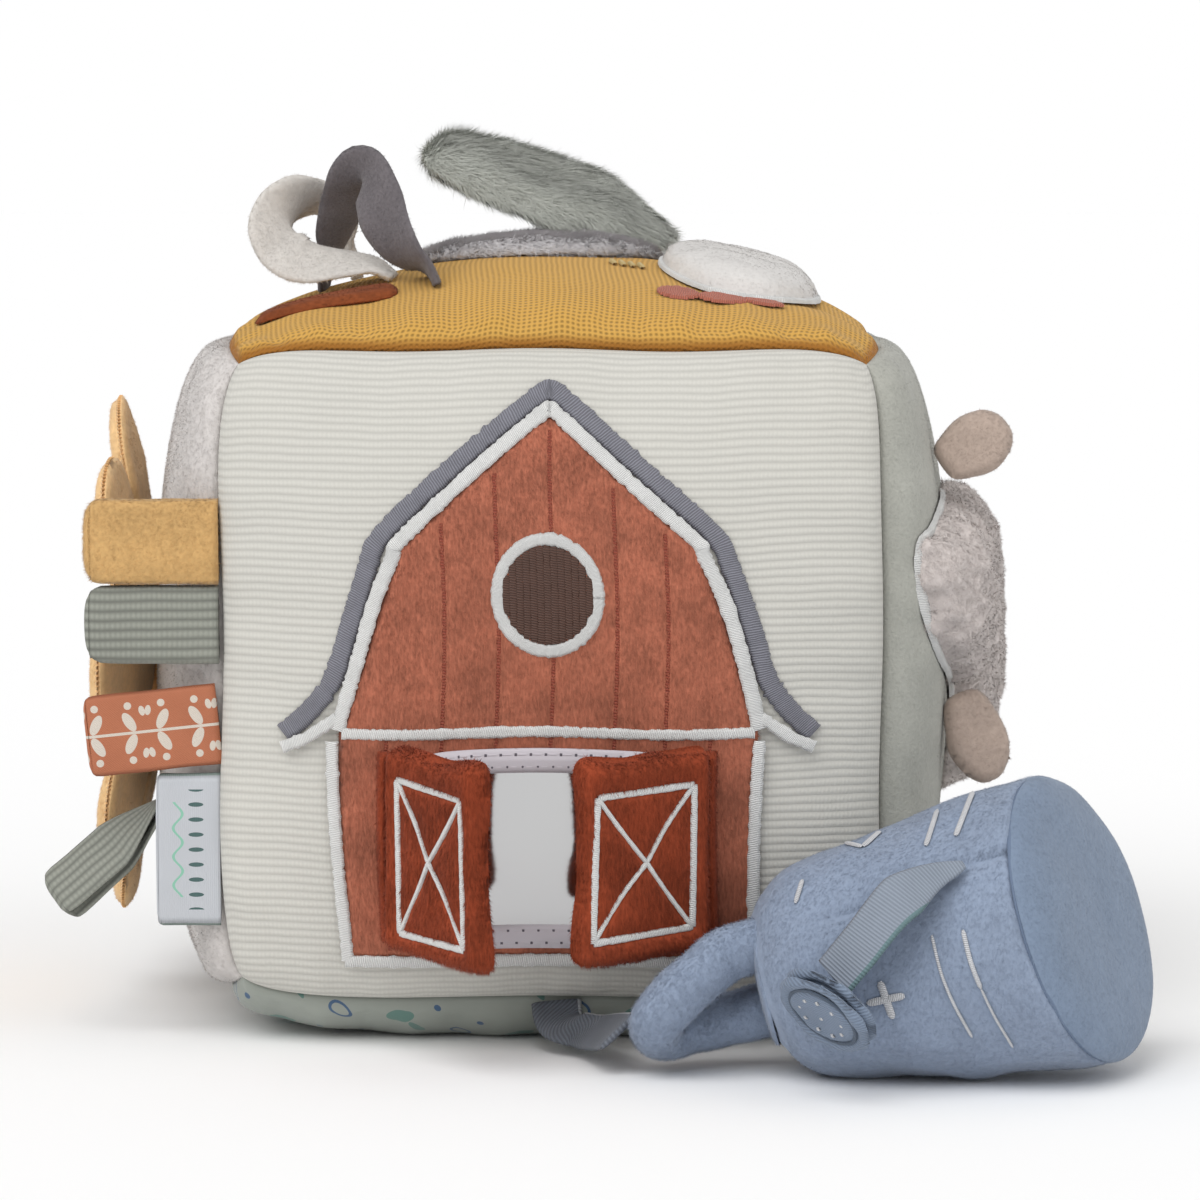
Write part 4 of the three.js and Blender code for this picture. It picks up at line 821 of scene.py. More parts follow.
WINDOW_X, WINDOW_Z = -0.3, 90.4
ring = [front_line(oval(WINDOW_X, WINDOW_Z, 9.8, 10.9))]
bands("window_ring_stitch", ring, FRONT, 2.7, 0.7, TRIM, M["white_thread"], "barn_window_ring", closed=True)
rows = []
for x in np.arange(-8.1, 8.2, 1.35):
    half = 9.6 * math.sqrt(max(0.0, 1 - (x / 8.9) ** 2))
    if half > 0.8:
        rows.append(front_line([(x + WINDOW_X, WINDOW_Z - half), (x + WINDOW_X, WINDOW_Z + half)]))
bands("window_stitch", rows, FRONT, 1.75, 0.45, ON_WALL + 0.15, M["window"], "barn_window")

# The soft mirror: ovals of half width, half height and power
MIRROR_Z = 40.6
BINDING_SEAMS = ((24.8, 16.3, 8), (27.3, 18.7, 7))


def mirror_oval(rx, rz, power, n=96):
    return front_line(oval(0, MIRROR_Z, rx, rz, n, power))


def mirror_top(verts, d):
    return ON_WALL + 0.35 + 0.25 * np.clip(d / 3, 0, 1)


def binding_top(verts, d):
    seam = np.min([distance(verts, mirror_oval(*size)) for size in BINDING_SEAMS], axis=0)
    return ON_WALL + 0.45 + 0.85 * np.clip(d / 0.8, 0, 1) ** 0.5 - 0.3 * np.exp(-((seam / 0.4) ** 2))


under = level(ON_WALL + 0.1)
plate("mirror_sheet", mirror_oval(25.4, 17.0, 8), FRONT, mirror_top, under, M["mirror"], 1.6, "mirror_film")
plate(
    "mirror_binding_cloth", mirror_oval(28.6, 19.9, 7), FRONT, binding_top, under, M["binding"], 0.8,
    "mirror_binding", holes=[mirror_oval(23.4, 15.0, 8)],
)
# Dark dabs between the binding's stitches stand for the needle holes: painted shade in the holes.
stitches, hole_shade_marks = [], []
for size in BINDING_SEAMS:
    loop = subdivide(mirror_oval(*size, 140), 0.5)
    for i in range(0, len(loop) - 5, 6):
        stitches.append(loop[i : i + 5])
        hole_shade_marks.append(loop[i + 4 : i + 6])
bands("binding_stitches", stitches, FRONT, 0.4, 0.22, ON_WALL + 0.95, M["binding"], step=0.5)
bands("binding_holes", hole_shade_marks, FRONT, 0.55, 0.06, ON_WALL + 1.12, M["hole"], step=0.3)

# The doors: each has its side, its opening in degrees, its stitched frame's corners and its cross's middle
DOOR_W, DOOR_H, DOOR_EDGE, DOOR_Z = 29.8, 41.4, 1.8, 41.6
HINGE_X, HINGE_Y = 30.4, -86.35
DOOR_SHARES = [
    (0.02, -0.455), (0.3, -0.47), (0.62, -0.495), (0.88, -0.5), (0.985, -0.47), (1.0, -0.4), (0.975, -0.25),
    (0.95, -0.05), (0.95, 0.15), (0.965, 0.3), (0.975, 0.39), (0.95, 0.455), (0.86, 0.48), (0.6, 0.47),
    (0.35, 0.485), (0.12, 0.5), (0.02, 0.49), (0.0, 0.42), (0.0, 0.2), (0.0, 0.0), (0.0, -0.2), (0.0, -0.4),
]
door_outline = rounded([(a * DOOR_W, b * DOOR_H) for a, b in DOOR_SHARES], 4)
FOLD = ((30.75, 22.7), (33.15, 22.7), (33.15, 60.5), (30.75, 60.5))
DOORS = {
    "left_door": (1, 50, [(4.4, 14.6), (24.2, 12.4), (25.2, -16.3), (5.2, -15.3)], (14.2, -0.6)),
    "right_door": (-1, 29, [(4.2, 13.6), (25.6, 12.2), (26.6, -15.9), (4.6, -14.2)], (14.8, -1.0)),
}


def to_lines(points, lines):
    """Distance of each point to the nearest of some open lines."""
    return np.min([distance(points, line, False) for line in lines], axis=0)


def door(name, side, opening, corners, middle):
    """A padded door on its hinge with its stitched cross, and the fold that holds it."""
    opening = side * math.radians(opening)
    cos, sin = math.cos(opening), math.sin(opening)
    corners, middle = np.array(corners), np.array(middle)
    lines = [np.array([corners[i], corners[(i + 1) % 4]]) for i in range(4)]
    lines += [rounded([c, c * 0.45 + middle * 0.55 + (0.5, 0.3), middle], 5, False) for c in corners]

    def place(a, t, h):
        x, y = side * a, DOOR_EDGE - h
        return np.stack([-side * HINGE_X + cos * x + sin * y, HINGE_Y - sin * x + cos * y, DOOR_Z + t], 1)

    def door_top(verts, d):
        body = DOOR_EDGE / 2 + (6.2 - DOOR_EDGE / 2) * bulge(d, 4.5)
        puff = 1 - np.exp(-to_lines(verts, lines) / 2.6)
        return np.minimum(body, 4.1 + np.where(inside(verts, corners), 1.0, 1.9) * puff)

    def off_seams(c):
        x, y = c[:, 0] + side * HINGE_X, c[:, 1] - HINGE_Y
        q = np.stack([side * (cos * x - sin * y), c[:, 2] - DOOR_Z], 1)
        return to_lines(q, lines) > 0.9

    cloth = plate(
        name + "_plush", door_outline, place, door_top, dome(0.9, 0.05, 2.5), M["rust"], 0.9,
        name, body=name, pad=0.6, bumps=[(7, 0.35, side * 3)],
    )
    pile(cloth, 1.5, 10, (0.1, 0, -1), name, spread=0.3, seed=11 + side, keep=off_seams)
    widths = [1.5] * 4 + [0.95] * 4
    bands(name + "_satin", lines, place, widths, 0.55, 4.3, M["white_thread"], name + "_stitching", body=name)
    fold = plate(
        name + "_fold_cloth", front_line([(-side * x, z) for x, z in FOLD]), FRONT,
        dome(ON_WALL + 0.35, ON_WALL + 4.65, 1.2), level(ON_WALL), M["rust"], 0.7, name + "_fold",
    )
    pile(fold, 1.2, 9, (0, 0, -1), spread=0.3, seed=21 + side)


for name, row in DOORS.items():
    door(name, *row)


# Tabs in the left seam
def tab_line(length, layer, fold, root):
    """The side view of a folded tab, from its back layer's root round the fold to its front layer's."""
    centre = -(length - fold - layer / 2)
    leg = [(centre * t, root + (fold - root) * t) for t in (0, 0.2, 0.4, 0.6, 0.8)]
    bend = [math.pi / 2 + math.pi * k / 8 for k in range(9)]
    bend = [(centre + fold * math.cos(a), fold * math.sin(a)) for a in bend]
    return rounded(leg + bend + [(x, -y) for x, y in reversed(leg)], 3, False)


def tab_width(flat, height, corner):
    """The tab's width along its line: its outer corners are rounded."""
    d = np.clip(1 - (flat[:, 0] - flat[:, 0].min()) / corner, 0, 1)
    return height - 2 * corner * (1 - np.sqrt(1 - d * d))


# Each tab's height on the block, length, width, layer, half fold, slant, tuck, corner radius and cloth
TABS = {
    "yellow": (100.6, 26.5, 16.8, 1.6, 1.5, 0.0, 0.45, 2.6, "yellow"),
    "sage": (84.1, 26.5, 15.4, 1.2, 1.2, 0.0, 0.45, 3.0, "sage"),
    "woven": (64.4, 26.5, 16.0, 0.7, 0.9, -6.0, 0.3, 1.7, "rust_satin"),
    "label": (39.2, 12.8, LABEL_WIDTH, 0.5, 0.5, 0.0, 0.45, 1.3, "label"),
}
for name, (z, length, width, layer, fold, slant, tuck, corner, material) in TABS.items():
    node = "tab_" + name
    flat = tab_line(length, layer, fold, layer * 0.75)
    c, s = math.cos(math.radians(slant)), math.sin(math.radians(slant))
    root = np.array([-(SIDE - tuck), -(SIDE - tuck + fold + layer / 2), z])
    line = root + flat[:, :1] * np.array([c, 0, -s]) + flat[:, 1:] * Y
    wide = tab_width(flat, width, corner)
    obj = strap(node + "_cloth", line, (s, 0, c), wide, layer, M[material], 0.75, 18)
    rumple(obj, 9, 0.35 if layer > 1 else 0.15, 5)
    ride(obj, node, node)
    if name == "yellow":
        pile(obj, 1.2, 8, (-0.8, 0, -0.5), node, spread=0.4, flat=2.2, seed=31)

# The flower and its leaf
PETAL_ROOT, PETAL_REACH, PETAL_HALF, PETALS = 15.85, 54.0, 14.6, 8
PETAL_STAND, PETAL_LEAN, PETAL_DROP = 16.5, 7, 2
PETAL_SHARES = [(0, 0.38), (0.2, 0.62), (0.42, 0.9), (0.62, 1), (0.8, 0.9), (0.94, 0.55)]
petal_len = PETAL_REACH - PETAL_ROOT
petal_side = [(PETAL_ROOT + s * petal_len, t * PETAL_HALF) for s, t in PETAL_SHARES]
petal_outline = rounded([(s, -t) for s, t in petal_side] + [(PETAL_REACH, 0)] + petal_side[::-1], 4)
edge = subdivide(petal_outline, 1.1)
ahead = unit(np.roll(edge, -1, 0) - np.roll(edge, 1, 0))
inward = np.stack([-ahead[:, 1], ahead[:, 0]], 1)
whip = list(np.stack([edge - 0.25 * inward, edge + 2.1 * inward], 1))


def petal_place(angle):
    c, s = math.cos(angle), math.sin(angle)

    def place(a, b, h):
        lean = PETAL_LEAN * np.clip(np.hypot(a, b) - PETAL_ROOT, 0, None) / petal_len
        out = SIDE + PETAL_STAND + lean + h
        return np.stack([-out, -(c * a - s * b), MID - PETAL_DROP + s * a + c * b], 1)

    return place


def petal_top(v, d):
    crease = np.exp(-((v[:, 1] / 1.6) ** 2)) * np.clip((PETAL_REACH - 8 - v[:, 0]) / 12, 0, 1)
    return 1.0 + 3.4 * bulge(d, 6) - 1.1 * crease


for i in range(PETALS):
    name = f"petal_{i + 1}"
    place = petal_place(2 * math.pi * i / PETALS)
    petal = plate(
        name + "_plush", petal_outline, place, petal_top, dome(0.9, 0.1, 4), M["petal"], 1.2,
        name, pad=0.5, bumps=[(9, 0.5, i * 2.0)],
    )
    pile(petal, 1.2, 4, (-0.1, 0, -0.6), flat=2.2, seed=40 + i)
    bands(name + "_overlock", whip, place, 0.85, 0.9, 1.1, M["overlock"], step=0.5)
middle = plate(
    "flower_middle_plush", oval(0, -2, 15, 15, 48), LEFT, dome(2.0, 8.4, 9), level(0.4), M["amber"], 1.3,
    "flower_middle", pad=0.7, bumps=[(8, 0.5, 2)],
)
pile(middle, 1.5, 7, (0, 0, -0.3), seed=50)

leaf_at = LEFT(np.array([54.5]), np.array([-27.0]), np.array([1.6 + 1.2 + 0.5 - 0.55]))[0]
flat = tab_line(29, 1.2, 1.6, 0.9)
c, s = math.cos(math.radians(-42)), math.sin(math.radians(-42))
ahead, face = np.array([c, 0, -s]), np.array([s, 0, c])
twist = np.radians(50) * np.clip(-flat[:, :1] / 12, 0, 1)
across = Y * np.cos(twist) + face * np.sin(twist)
line = leaf_at + ahead * flat[:, :1] + (face * np.cos(twist) - Y * np.sin(twist)) * flat[:, 1:]
leaf = strap("leaf_cloth", line, across, tab_width(flat, 12, 2.6), 1.2, M["sage"], 0.75, 16)
rumple(leaf, 7, 0.3, 7)
ride(leaf, "leaf", "leaf_loop")

# The lamb
WOOL_SHARES = [
    (-0.495, 0.336), (-0.5, 0.216), (-0.479, 0.097), (-0.422, -0.007), (-0.286, -0.097), (-0.161, -0.2),
    (0.005, -0.38), (0.17, -0.5), (0.34, -0.485), (0.46, -0.35), (0.49, -0.11), (0.46, 0.127), (0.36, 0.3),
    (0.19, 0.425), (-0.016, 0.463), (-0.224, 0.455), (-0.37, 0.425), (-0.453, 0.373),
]
WOOL_S, WOOL_T, WOOL_W, WOOL_H = -14.5, 3.5, 96, 67
wool_outline = rounded([(WOOL_S + a * WOOL_W, WOOL_T + b * WOOL_H) for a, b in WOOL_SHARES], 5)
wool = plate(
    "lamb_wool_plush", wool_outline, RIGHT, dome(1.4, 10.4, 13), level(0.3), M["wool"], 1.1,
    "lamb_wool", pad=0.7, bumps=[(5, 1.2, 4), (2.4, 0.9, 8)],
)
pile(wool, 1.7, 7, (0, 0, -0.1), width=0.24, spread=1.0, flat=1.8, seed=60)
front_edge = np.array(sorted([q for q in wool_outline if q[0] < -30], key=lambda q: q[1]))
bands("lamb_outline_stitch", [front_edge], RIGHT, 1.8, 1.0, 0.4, M["white_thread"], step=0.9)
muzzle_outline = oval(WOOL_S + WOOL_W / 2 + 12.5 + 0.35, -5, 12.3, 17.8, 60)
muzzle = plate(
    "lamb_muzzle_plush", muzzle_outline, RIGHT, dome(1.4, 7.8, 9), level(0.3), M["ear"], 1.3,
    "lamb_muzzle", pad=0.7,
)
pile(muzzle, 1.2, 6, (0, 0, -0.5), seed=61)

EAR_SIDE = [(0, 0.5), (0.25, 0.85), (0.55, 1), (0.82, 0.8), (0.97, 0.4)]
EAR_SHARES = [(s, -t) for s, t in EAR_SIDE] + [(1, 0)] + EAR_SIDE[::-1]
EAR_HALF = 6.6


def lining_top(verts, d):
    return -2.3 - 0.35 * np.clip(d, 0, 1)


# Each ear's place on the panel, stand above it, length, and lift and twist in degrees
EARS = {
    "ear_upper": (-45.0, 41.0, 1.8, 15.5, 32.0, 68.0),
    "ear_lower": (-45.5, -5.5, 3.4, 18.5, -70.0, 68.0),
}
for k, (name, (*root, length, lift, twist)) in enumerate(EARS.items()):
    root = RIGHT(*np.array(root)[:, None])[0]
    turn = rotation(math.radians(-lift), "Y", math.radians(twist), "X")

    def ear_place(s, t, h):
        return root + np.stack([s, t, h], 1) @ turn.T

    ear = plate(
        name + "_plush", rounded([(s * length, t * EAR_HALF) for s, t in EAR_SHARES], 4), ear_place,
        dome(0.3, 2.2, 3.2), dome(-0.3, -2.2, 3.2), M["ear"], 0.8,
        name, body=name, pad=0.6, bumps=[(6, 0.4, k * 3)],
    )
    pile(ear, 1.0, 8, (0.5, 0, 0), name, flat=2.4, seed=70 + k)
    inner = rounded([(length * (0.45 + 0.5 * s), t * 5.0 + 1.5) for s, t in EAR_SHARES], 4)
    plate(name + "_lining", inner, ear_place, lining_top, level(-1.5), M["ear_in"], 0.8, body=name)

# The hen
HEN_X, HEN_Y, HEN_RX, HEN_RY = -4, 8, 25.5, 30
ON_TOP = level(0.3)
body = plate(
    "hen_body_plush", oval(HEN_X, HEN_Y, HEN_RX, HEN_RY, 72), TOP, dome(1.3, 3.4, 7), ON_TOP,
    M["grey_pile"], 1.3, "hen_body", pad=0.5, bumps=[(6, 0.6, 3)],
)
pile(body, 3.2, 7, (0.5, -0.8, 0), width=0.22, spread=0.4, flat=2.0, seed=80)
head_outline = oval(HEN_X + HEN_RX + 16 + 0.85, -18, 16, 30, 72, 2.2)
head = plate(
    "hen_head_plush", head_outline, TOP, dome(1.2, 5.6, 8), ON_TOP, M["white_plush"], 1.3,
    "hen_head", pad=0.6, bumps=[(7, 0.4, 6)],
)
pile(head, 0.8, 4, (0.4, -0.8, 0), spread=0.3, flat=2.2, seed=81)
bands("hen_head_stitch", [head_outline], TOP, 1.7, 0.9, 0.4, M["white_thread"], closed=True, step=0.8)
lobes = []
for x, y, a, b in ((24.6, -49.4, 4.3, 3.6), (33.4, -50.2, 5.0, 3.0), (41.6, -49.6, 4.2, 2.1)):
    for t in np.arange(-b + 0.35, b, 0.75):
        half = a * math.sqrt(max(0.0, 1 - (t / b) ** 2))
        lobes.append(np.array([(x - half, y + t), (x, y + t - 0.15), (x + half, y + t)]))
bands("hen_comb_stitch", lobes, TOP, 1.15, 0.6, 0.25, M["pink_thread"], "hen_comb")
strokes = [np.array([(12 + k * 1.9, -24.5 - 0.2 * k), (12.8 + k * 1.9, -28.6 - 0.3 * k)]) for k in range(4)]
bands("hen_strokes", strokes, TOP, 1.1, 0.7, 0.1, M["pale_thread"])

WING_LEN, WING_HALF, WING_LIFT, WING_ROLL = 49.5, 20, math.radians(20), math.radians(15)
WING_SHARES = [
    (-0.1, -0.45), (0.06, -0.85), (0.28, -1), (0.52, -0.94), (0.76, -0.76), (0.93, -0.52), (1, 0),
    (0.95, 0.5), (0.78, 0.76), (0.52, 0.94), (0.28, 0.92), (0.06, 0.62), (-0.1, 0.25),
]
wing_rise = 0.5 + 4 - 0.5 + WING_HALF * 0.4 * math.sin(WING_ROLL)
wing_at = TOP(np.array([HEN_X + HEN_RX * 0.88]), np.array([14.0]), np.array([wing_rise]))[0]
wing_turn = rotation(WING_LIFT, "Y", WING_ROLL, "X")


def wing_place(s, t, h):
    return wing_at + np.stack([-s, -t, h * np.clip(0.35 + (s + 4) / 24, 0, 1)], 1) @ wing_turn.T


wing = plate(
    "hen_wing_plush", rounded([(s * WING_LEN, t * WING_HALF) for s, t in WING_SHARES], 4), wing_place,
    dome(0.4, 5.4, 8), dome(-0.2, -1.5, 4), M["wing_pile"], 1.2,
    "hen_wing", body="wing", pad=0.6, bumps=[(8, 0.8, 5)],
)
pile(wing, 4.6, 9, (0.9, -0.3, -0.5), "wing", width=0.22, spread=0.35, flat=2.8, seed=82)

# Each row of a loop: its share of the run to the side, of the height, of the way back, of a quarter turn
CREAM = [
    (0, 0.02, 0, 0), (0.15, 0.08, 0, 0.1), (0.32, 0.15, 0, 0.2), (0.52, 0.21, 0, 0.3), (0.7, 0.29, 0, 0.42),
    (0.85, 0.43, 0, 0.52), (0.95, 0.6, 0.04, 0.56), (1, 0.78, 0.08, 0.55), (0.98, 0.94, 0.16, 0.47),
    (0.89, 1, 0.28, 0.38), (0.78, 0.967, 0.44, 0.31), (0.66, 0.86, 0.64, 0.25), (0.58, 0.712, 0.84, 0.18),
    (0.52, 0.504, 0.96, 0.09), (0.46, 0.275, 1, 0), (0.4, 0.03, 1, 0),
]
GREY = [
    (-0.05, 0, 0, 0), (0, 0.24, 0, 0.18), (0.07, 0.437, 0.04, 0.26), (0.15, 0.63, 0.16, 0.34),
    (0.24, 0.83, 0.32, 0.38), (0.34, 0.985, 0.5, 0.36), (0.42, 1, 0.64, 0.4), (0.49, 0.84, 0.78, 0.52),
    (0.56, 0.61, 0.88, 0.58), (0.66, 0.4, 0.96, 0.48), (0.786, 0.22, 1, 0.3), (0.905, 0.1, 1, 0.12),
    (1, 0.01, 1, 0),
]


LOOP_WIDTH, LOOP_LIFT, LOOP_SUNK = 13, 0.5, 1.8


def standing_loop(node, rows, foot, run_to, height, back, thick, material, edge_share, width=LOOP_WIDTH):
    """A strap that stands on the top panel, both ends sewn down, and turns as it rises."""
    rows = np.array(rows)
    x, y = foot[0] + rows[:, 0] * run_to, foot[1] + rows[:, 2] * back
    line = TOP(x, y, LOOP_LIFT + thick / 2 + rows[:, 1] * height)
    line[[0, -1], 2] -= LOOP_SUNK
    line = rounded(np.concatenate([line, rows[:, 3:] * 90], 1), 6, False)
    turn = np.radians(np.clip(line[:, 3:], 0, None))
    line = line[:, :3]
    outward = unit(np.cross(np.gradient(line, axis=0), Y))
    across = outward * np.sin(turn) - Y * np.cos(turn)
    obj = strap(node + "_cloth", line, across, width, thick, material, edge_share, 18)
    rumple(obj, 7, 0.35, width)
    ride(obj, "block", node)
    float(run(line)[-1]) * MM
    return obj


cream = standing_loop("cream_loop", CREAM, (-32.5, -27.5), -24, 18, 31, 2.2, M["cream_plush"], 0.7)
pile(cream, 1.0, 8, (-0.3, 0, -0.3), flat=2.4, seed=83)
grey = standing_loop("grey_loop", GREY, (-46.9, -12.5), 23.4, 20.5, -28, 1.8, M["grey_velvet"], 0.75)
pile(grey, 0.8, 8, (0.2, 0, -0.8), flat=2.2, seed=84)
strip = [(-58.5, -49.7), (-46, -50), (-33, -49.7), (-33, -41.3), (-46, -41), (-58.5, -41.3)]
strip = plate(
    "rust_strip_cloth", rounded(strip, 3), TOP, dome(0.7, 2.0, 2.5), ON_TOP, M["strip"], 0.9,
    "rust_strip", pad=0.4,
)
pile(strip, 0.9, 9, (-0.5, 0, -0.3), flat=1.6, seed=85)

# The watering can, in its own frame: x from its top to its base
CAN_LEN, CAN_SMALL, CAN_BASE = 57.0, 19.8, 28.6
SHOULDER = -3.6
CAN_PITCH = math.atan2(CAN_BASE - CAN_SMALL, CAN_LEN) + math.radians(3)
CAN_AT = np.array([45.2, -98.0, CAN_SMALL * math.cos(CAN_PITCH) - 0.5])
CAN_TURN = rotation(math.radians(-3), "Z", -CAN_PITCH, "Y")


def can_world(points):
    return CAN_AT + np.asarray(points) @ CAN_TURN.T


def lean_of(share, y, z):
    """The soft can leans: towards its base, its near side is shorter than its far side."""
    return np.clip(share, 0, 1) ** 1.5 * (0.36 * y - 0.128 * z)


def leant(points):
    p = np.array(points, float).reshape(-1, 3)
    p[:, 0] += lean_of(p[:, 0] / CAN_LEN, p[:, 1], p[:, 2])
    return p


def cone(share):
    return CAN_SMALL + (CAN_BASE - CAN_SMALL) * share + 0.8 * np.sin(math.pi * share)


def can_radius(share):
    return cone(share) - 3.5 * (1 - share) ** 8


def revolve(name, along, radius, material, sides=96):
    angles = 2 * math.pi * np.arange(sides) / sides
    rows = [(x, r * math.cos(a), r * math.sin(a)) for x, r in zip(along, radius) for a in angles]
    p = can_world(leant(rows))
    p[:, 2] = np.maximum(p[:, 2], 0.05)
    return make(name, p, grid_faces(len(along), sides, ring=True), material)


along = SHOULDER + (CAN_LEN - SHOULDER) * np.linspace(0, 1, 70) ** 1.3
share = along / CAN_LEN
side_r = cone(share) * (1 - 0.33 * (1 - np.clip((along - SHOULDER) / 12, 0, 1)) ** 3)
side_r -= 0.9 * np.exp(-(1 - share) * CAN_LEN / 0.8)
can_side = revolve(
    "can_side_plush",
    np.concatenate([along, [CAN_LEN, 8.0, SHOULDER, SHOULDER]]),
    np.concatenate([side_r, [side_r[-1] - 2, 17.5, side_r[0] - 2, side_r[0]]]),
    M["blue"],
)
# The seam along the can's side draws its cloth in
co = read(can_side.data) / MM
local = (co - CAN_AT) @ CAN_TURN
share = np.clip(local[:, 0] / CAN_LEN, 0, 1)
radius = np.hypot(local[:, 1], local[:, 2])
off = (np.arctan2(local[:, 2], -local[:, 1]) - math.radians(41) + 0.25 * (0.8 - share)) * radius
begin, end = np.clip((share - 0.12) / 0.2, 0, 1), np.clip((0.92 - share) / 0.08, 0, 1)
dent = 1.5 * np.exp(-((off / 1.3) ** 2)) * begin * end
radial = (local * (0, 1, 1)) / np.maximum(radius, 1e-6)[:, None]
write(can_side.data, (co - dent[:, None] * radial @ CAN_TURN.T) * MM)
rumple(can_side, 15, 1.1, 3)
rumple(can_side, 5, 0.3, 4)
ride(can_side, "can", "can_side", pad=0.9)


def on_can_side(c):
    x, y, z = ((c - CAN_AT) @ CAN_TURN).T
    share = np.clip((x - lean_of(x / CAN_LEN, y, z)) / CAN_LEN, 0, 1)
    return (np.hypot(y, z) > can_radius(share) - 1.7) & (c[:, 2] > 0.4)


pile(can_side, 1.3, 8, (-0.2, 0, -0.9), "can", spread=0.3, flat=3.0, seed=90, keep=on_can_side)
a = np.linspace(0, math.pi / 2, 24)
base_x = CAN_LEN + 0.35 + 5.0 * (1 - np.sin(a) ** 6) ** 0.55
base = revolve("can_base_plush", base_x, (CAN_BASE - 0.3) * np.sin(a), M["blue_base"])
rumple(base, 14, 0.5, 6)
ride(base, "can", "can_base", pad=0.9)
pile(base, 0.8, 7, (0, 0, -1), "can", spread=0.25, flat=2.4, seed=91)
top = revolve("can_top_plush", SHOULDER + 0.2 - 1.9 * np.cos(a) ** 0.75, 12.8 * np.sin(a), M["blue"])
ride(top, "can", "can_top", pad=0.9)
pile(top, 1.1, 7, (0, 0, -0.8), "can", flat=2.2, seed=92)
cord = np.linspace(0, 2 * math.pi, 9)
seam_x, seam_r = CAN_LEN + 0.17 + 0.75 * np.cos(cord), CAN_BASE - 0.95 + 0.6 * np.sin(cord)
ride(revolve("can_base_seam", seam_x, seam_r, M["blue_seam"]), "can")

# The handle's points: shares of its reach, of its half width and of its half height
HANDLE_SHARES = [
    (0, 0.45, 1), (0.16, 0.55, 0.96), (0.44, 0.86, 0.66), (0.72, 1, 0.24), (0.93, 0.9, -0.2), (1, 0.45, -0.6),
    (0.92, 0, -0.82), (0.68, -0.34, -0.88), (0.36, -0.52, -0.88), (0, -0.56, -0.86),
]
HANDLE_START, HANDLE_SUNK, HANDLE_RADIUS = 3 + 2 + 1.4, 4.4, 5.2
HANDLE_REACH, HANDLE_W, HANDLE_H = 19.5, 9, 7.5
line = [(-(HANDLE_START + s * HANDLE_REACH), -w * HANDLE_W, r * HANDLE_H) for s, w, r in HANDLE_SHARES]
line = np.array(line)
line[[0, -1], 0] += HANDLE_SUNK
handle = tube("can_handle_plush", rounded(can_world(line), 8, False), HANDLE_RADIUS, M["blue"])
rumple(handle, 6, 0.5, 9)
ride(handle, "can", "can_handle", pad=0.8)
pile(handle, 1.4, 9, (-0.2, 0, -0.8), "can", flat=1.9, seed=93)

# Embroidery on the can's side, placed by its pixels in the photograph
bpy.context.view_layer.update()
tree = BVHTree.FromPolygons(
    [v.co.copy() for v in can_side.data.vertices], [tuple(p.vertices) for p in can_side.data.polygons]
)


def on_can(px, py):
    """Place and normal of the can's side behind a pixel, or None."""
    ahead = Vector(pixel_ray(px, py).tolist())
    hit, normal, _, _ = tree.ray_cast(Vector((CAM_AT * MM).tolist()), ahead)
    if hit is None:
        return None
    return np.array(hit) / MM, np.array(normal if normal.dot(ahead) < 0 else -normal)


def embroider(name, strokes, height, material):
    """Domed bands of thread; each stroke is its pixels and its width."""
    points, faces, uv = [], [], []
    across = np.linspace(-1, 1, 7)
    for stroke, width in strokes:
        got = [on_can(*q) for q in subdivide(rounded(stroke, 5, False), 3.0, False)]
        got = [g for g in got if g is not None]
        if len(got) < 2:
            continue
        p, n = (np.array(rows) for rows in zip(*got))
        side = unit(np.cross(np.gradient(p, axis=0), n))
        length = run(p)
        taper = np.clip(0.45 + np.minimum(length, length[-1] - length) / 1.2, 0, 1)
        faces += grid_faces(len(p), len(across), len(points))
        for i in range(len(p)):
            for c in across:
                h = 0.3 + height * taper[i] * math.sqrt(1 - c * c)
                points.append(p[i] + side[i] * c * taper[i] * width / 2 + n[i] * h)
                uv.append((c * width / 2, length[i]))
    return make(name, points, faces, material, uv, fix=False)


strokes = [
    ([(932, 935), (941, 972), (955, 1006), (972, 1036)], 0.6),
    ([(963, 930), (971, 962), (981, 988)], 0.9), ([(981, 988), (996, 1018), (1013, 1046)], 0.5),
    ([(880, 981), (893, 1018)], 1.5), ([(867, 1003), (905, 995)], 1.5),
    ([(938, 811), (926, 847)], 1.1), ([(974, 791), (956, 837)], 1.2),
    ([(846, 844), (863, 848)], 1.0), ([(863, 848), (880, 833)], 1.4), ([(803, 881), (796, 904)], 1.0),
]
ride(embroider("can_embroidery", strokes, 0.4, M["silver_thread"]), "can")

# Spout ribbon and rose
RIBBON = 10
ROSE_GAP, ROSE_THICK = 0.175, 1.9
rose_mid = np.array([0.2 * CAN_LEN - 3.2, -(float(can_radius(0.2)) + 9.7), -3.0])
rose_out = CAN_TURN.T @ unit(np.array([-0.58, -0.49, -0.65]))
root_angle = math.radians(38)
root_r = float(can_radius(0.8)) + 0.6 + 0.7
spout_root = leant((0.8 * CAN_LEN, -root_r * math.cos(root_angle), root_r * math.sin(root_angle)))[0]
spout_end = rose_mid - rose_out * (ROSE_THICK + 0.7 + 0.6)
spout_end[2] += 10.5 / 3 + 0.35
bow = (spout_root + spout_end) / 2 + (0, -4, 4)
path = [spout_root, (spout_root + bow) / 2 + Z, bow, bow + (spout_end - bow) * 0.6 + (0, -0.5, 0), spout_end]
line = can_world(rounded(path, 8, False))
width = RIBBON * np.clip(0.18 + np.arange(len(line)) / 17, 0, 1)
across = CAN_TURN @ np.array([0.2, -0.55, -0.8])
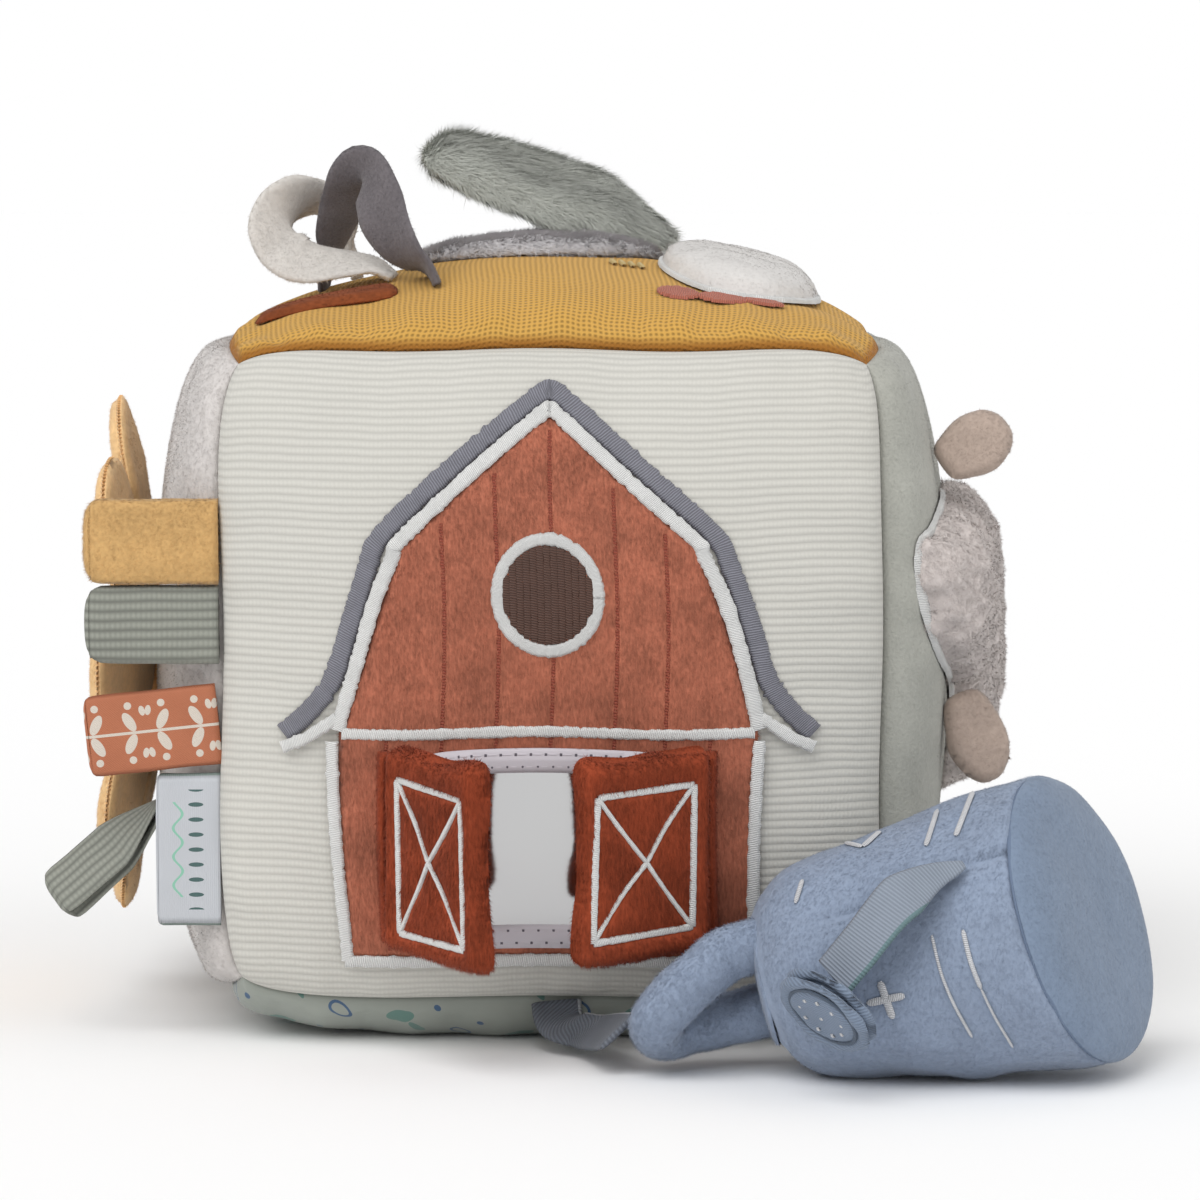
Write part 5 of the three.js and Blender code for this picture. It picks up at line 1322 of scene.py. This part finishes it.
spout = strap("spout_ribbon_cloth", line, across, width, 1.0, M["twill"], 0.9)
ride(spout, "spout", "can_spout_ribbon")
float(run(line)[-1]) * MM
rose_x = unit(np.cross(Z, rose_out))
rose_y = np.cross(rose_out, rose_x)


def rose_place(offset):
    def place(a, b, h):
        a, b, h = (k[:, None] for k in (a, b, offset + h))
        return can_world(rose_mid + a * rose_x + b * rose_y + h * rose_out)

    return place


def rose_top(v, d):
    return dome(0.9, 2.1, 2.2)(v, d) - 0.7 * np.exp(-(((d - 2.6) / 0.7) ** 2))


for name, offset in (("rose_face", ROSE_GAP), ("rose_back", -ROSE_THICK - ROSE_GAP)):
    plate(
        name + "_cloth", oval(0, 0, 10.1, 9.7, 60, 2.15), rose_place(offset), rose_top, dome(0.9, 0.1, 2.0),
        M["rose"], 0.8, name, body="spout", bumps=[(6, 0.6, 4)],
    )
on_rose = rose_place(ROSE_GAP)
ring = [oval(0, 0, 7.5, 7.2, 60)]
bands("rose_ring_stitch", ring, on_rose, 0.8, 0.4, 1.45, M["rim"], body="spout", closed=True)
dots = []
for k in range(10):
    a = 2 * math.pi * k / 9 + 0.3
    c = np.array([math.cos(a), math.sin(a)]) * (4.8 if k else 0.0)
    dots.append(np.array([c + (-0.4, 0), c + (0.4, 0)]))
bands("rose_dots", dots, on_rose, 0.9, 0.6, 1.7, M["silver_thread"], body="spout", step=0.3)

# The ribbon that ties the can
path = [(1.0, -66.6, 8.65), (1.6, -69.85, 5.6), (3.6, -74.4, 4.9), (8.5, -79.6, 5.0), (13.35, -100.1, 8.49)]
line = rounded(path, 10, False)
turn = np.radians(np.linspace(0, 88, len(line)))
across = np.stack([np.cos(turn), 0.75 * np.sin(turn), 0.66 * np.sin(turn) * np.sin(2 * turn)], 1)
tether = strap("tether_cloth", line, across, RIBBON, 1.2, M["tether"], 0.9)
ride(tether, "tether", "tether_ribbon")
float(run(line)[-1]) * MM

# Floor and light
bpy.ops.mesh.primitive_plane_add(size=30, location=(0, 0, -0.0003))
floor = bpy.context.object
floor.name = "floor"
floor.data.materials.append(Shader("floor_paper", 0.9, spec=0.0).done((0.97, 0.97, 0.97, 1)))

world = bpy.data.worlds.new("studio")
scene.world = world
world.use_nodes = True
nodes, join = world.node_tree.nodes, world.node_tree.links.new
sky, seen = nodes["Background"], nodes.new("ShaderNodeBackground")
for node, strength in ((sky, 0.55), (seen, 1.0)):
    node.inputs[0].default_value = (1, 1, 1, 1)
    node.inputs[1].default_value = strength
pick, rays, either = (nodes.new("ShaderNode" + kind) for kind in ("MixShader", "LightPath", "Math"))
either.operation = "MAXIMUM"
join(rays.outputs["Is Camera Ray"], either.inputs[0])
join(rays.outputs["Is Glossy Ray"], either.inputs[1])
for k, source in enumerate((either, sky, seen)):
    join(source.outputs[0], pick.inputs[k])
join(pick.outputs[0], nodes["World Output"].inputs[0])


def sun(name, way, power, soft):
    """A studio lamp far off: it shines from a direction, with soft shadows."""
    lamp = bpy.data.lights.new(name, "SUN")
    lamp.energy = power
    lamp.angle = math.radians(soft)
    link(bpy.data.objects.new(name, lamp)).rotation_euler = (-Vector(way)).to_track_quat("-Z", "Y").to_euler()


sun("key", (-0.45, -0.75, 0.95), 1.7, 50)
sun("fill", (0.8, -0.7, 0.5), 0.6, 70)

scene.view_settings.view_transform = "Standard"
bpy.context.view_layer.update()
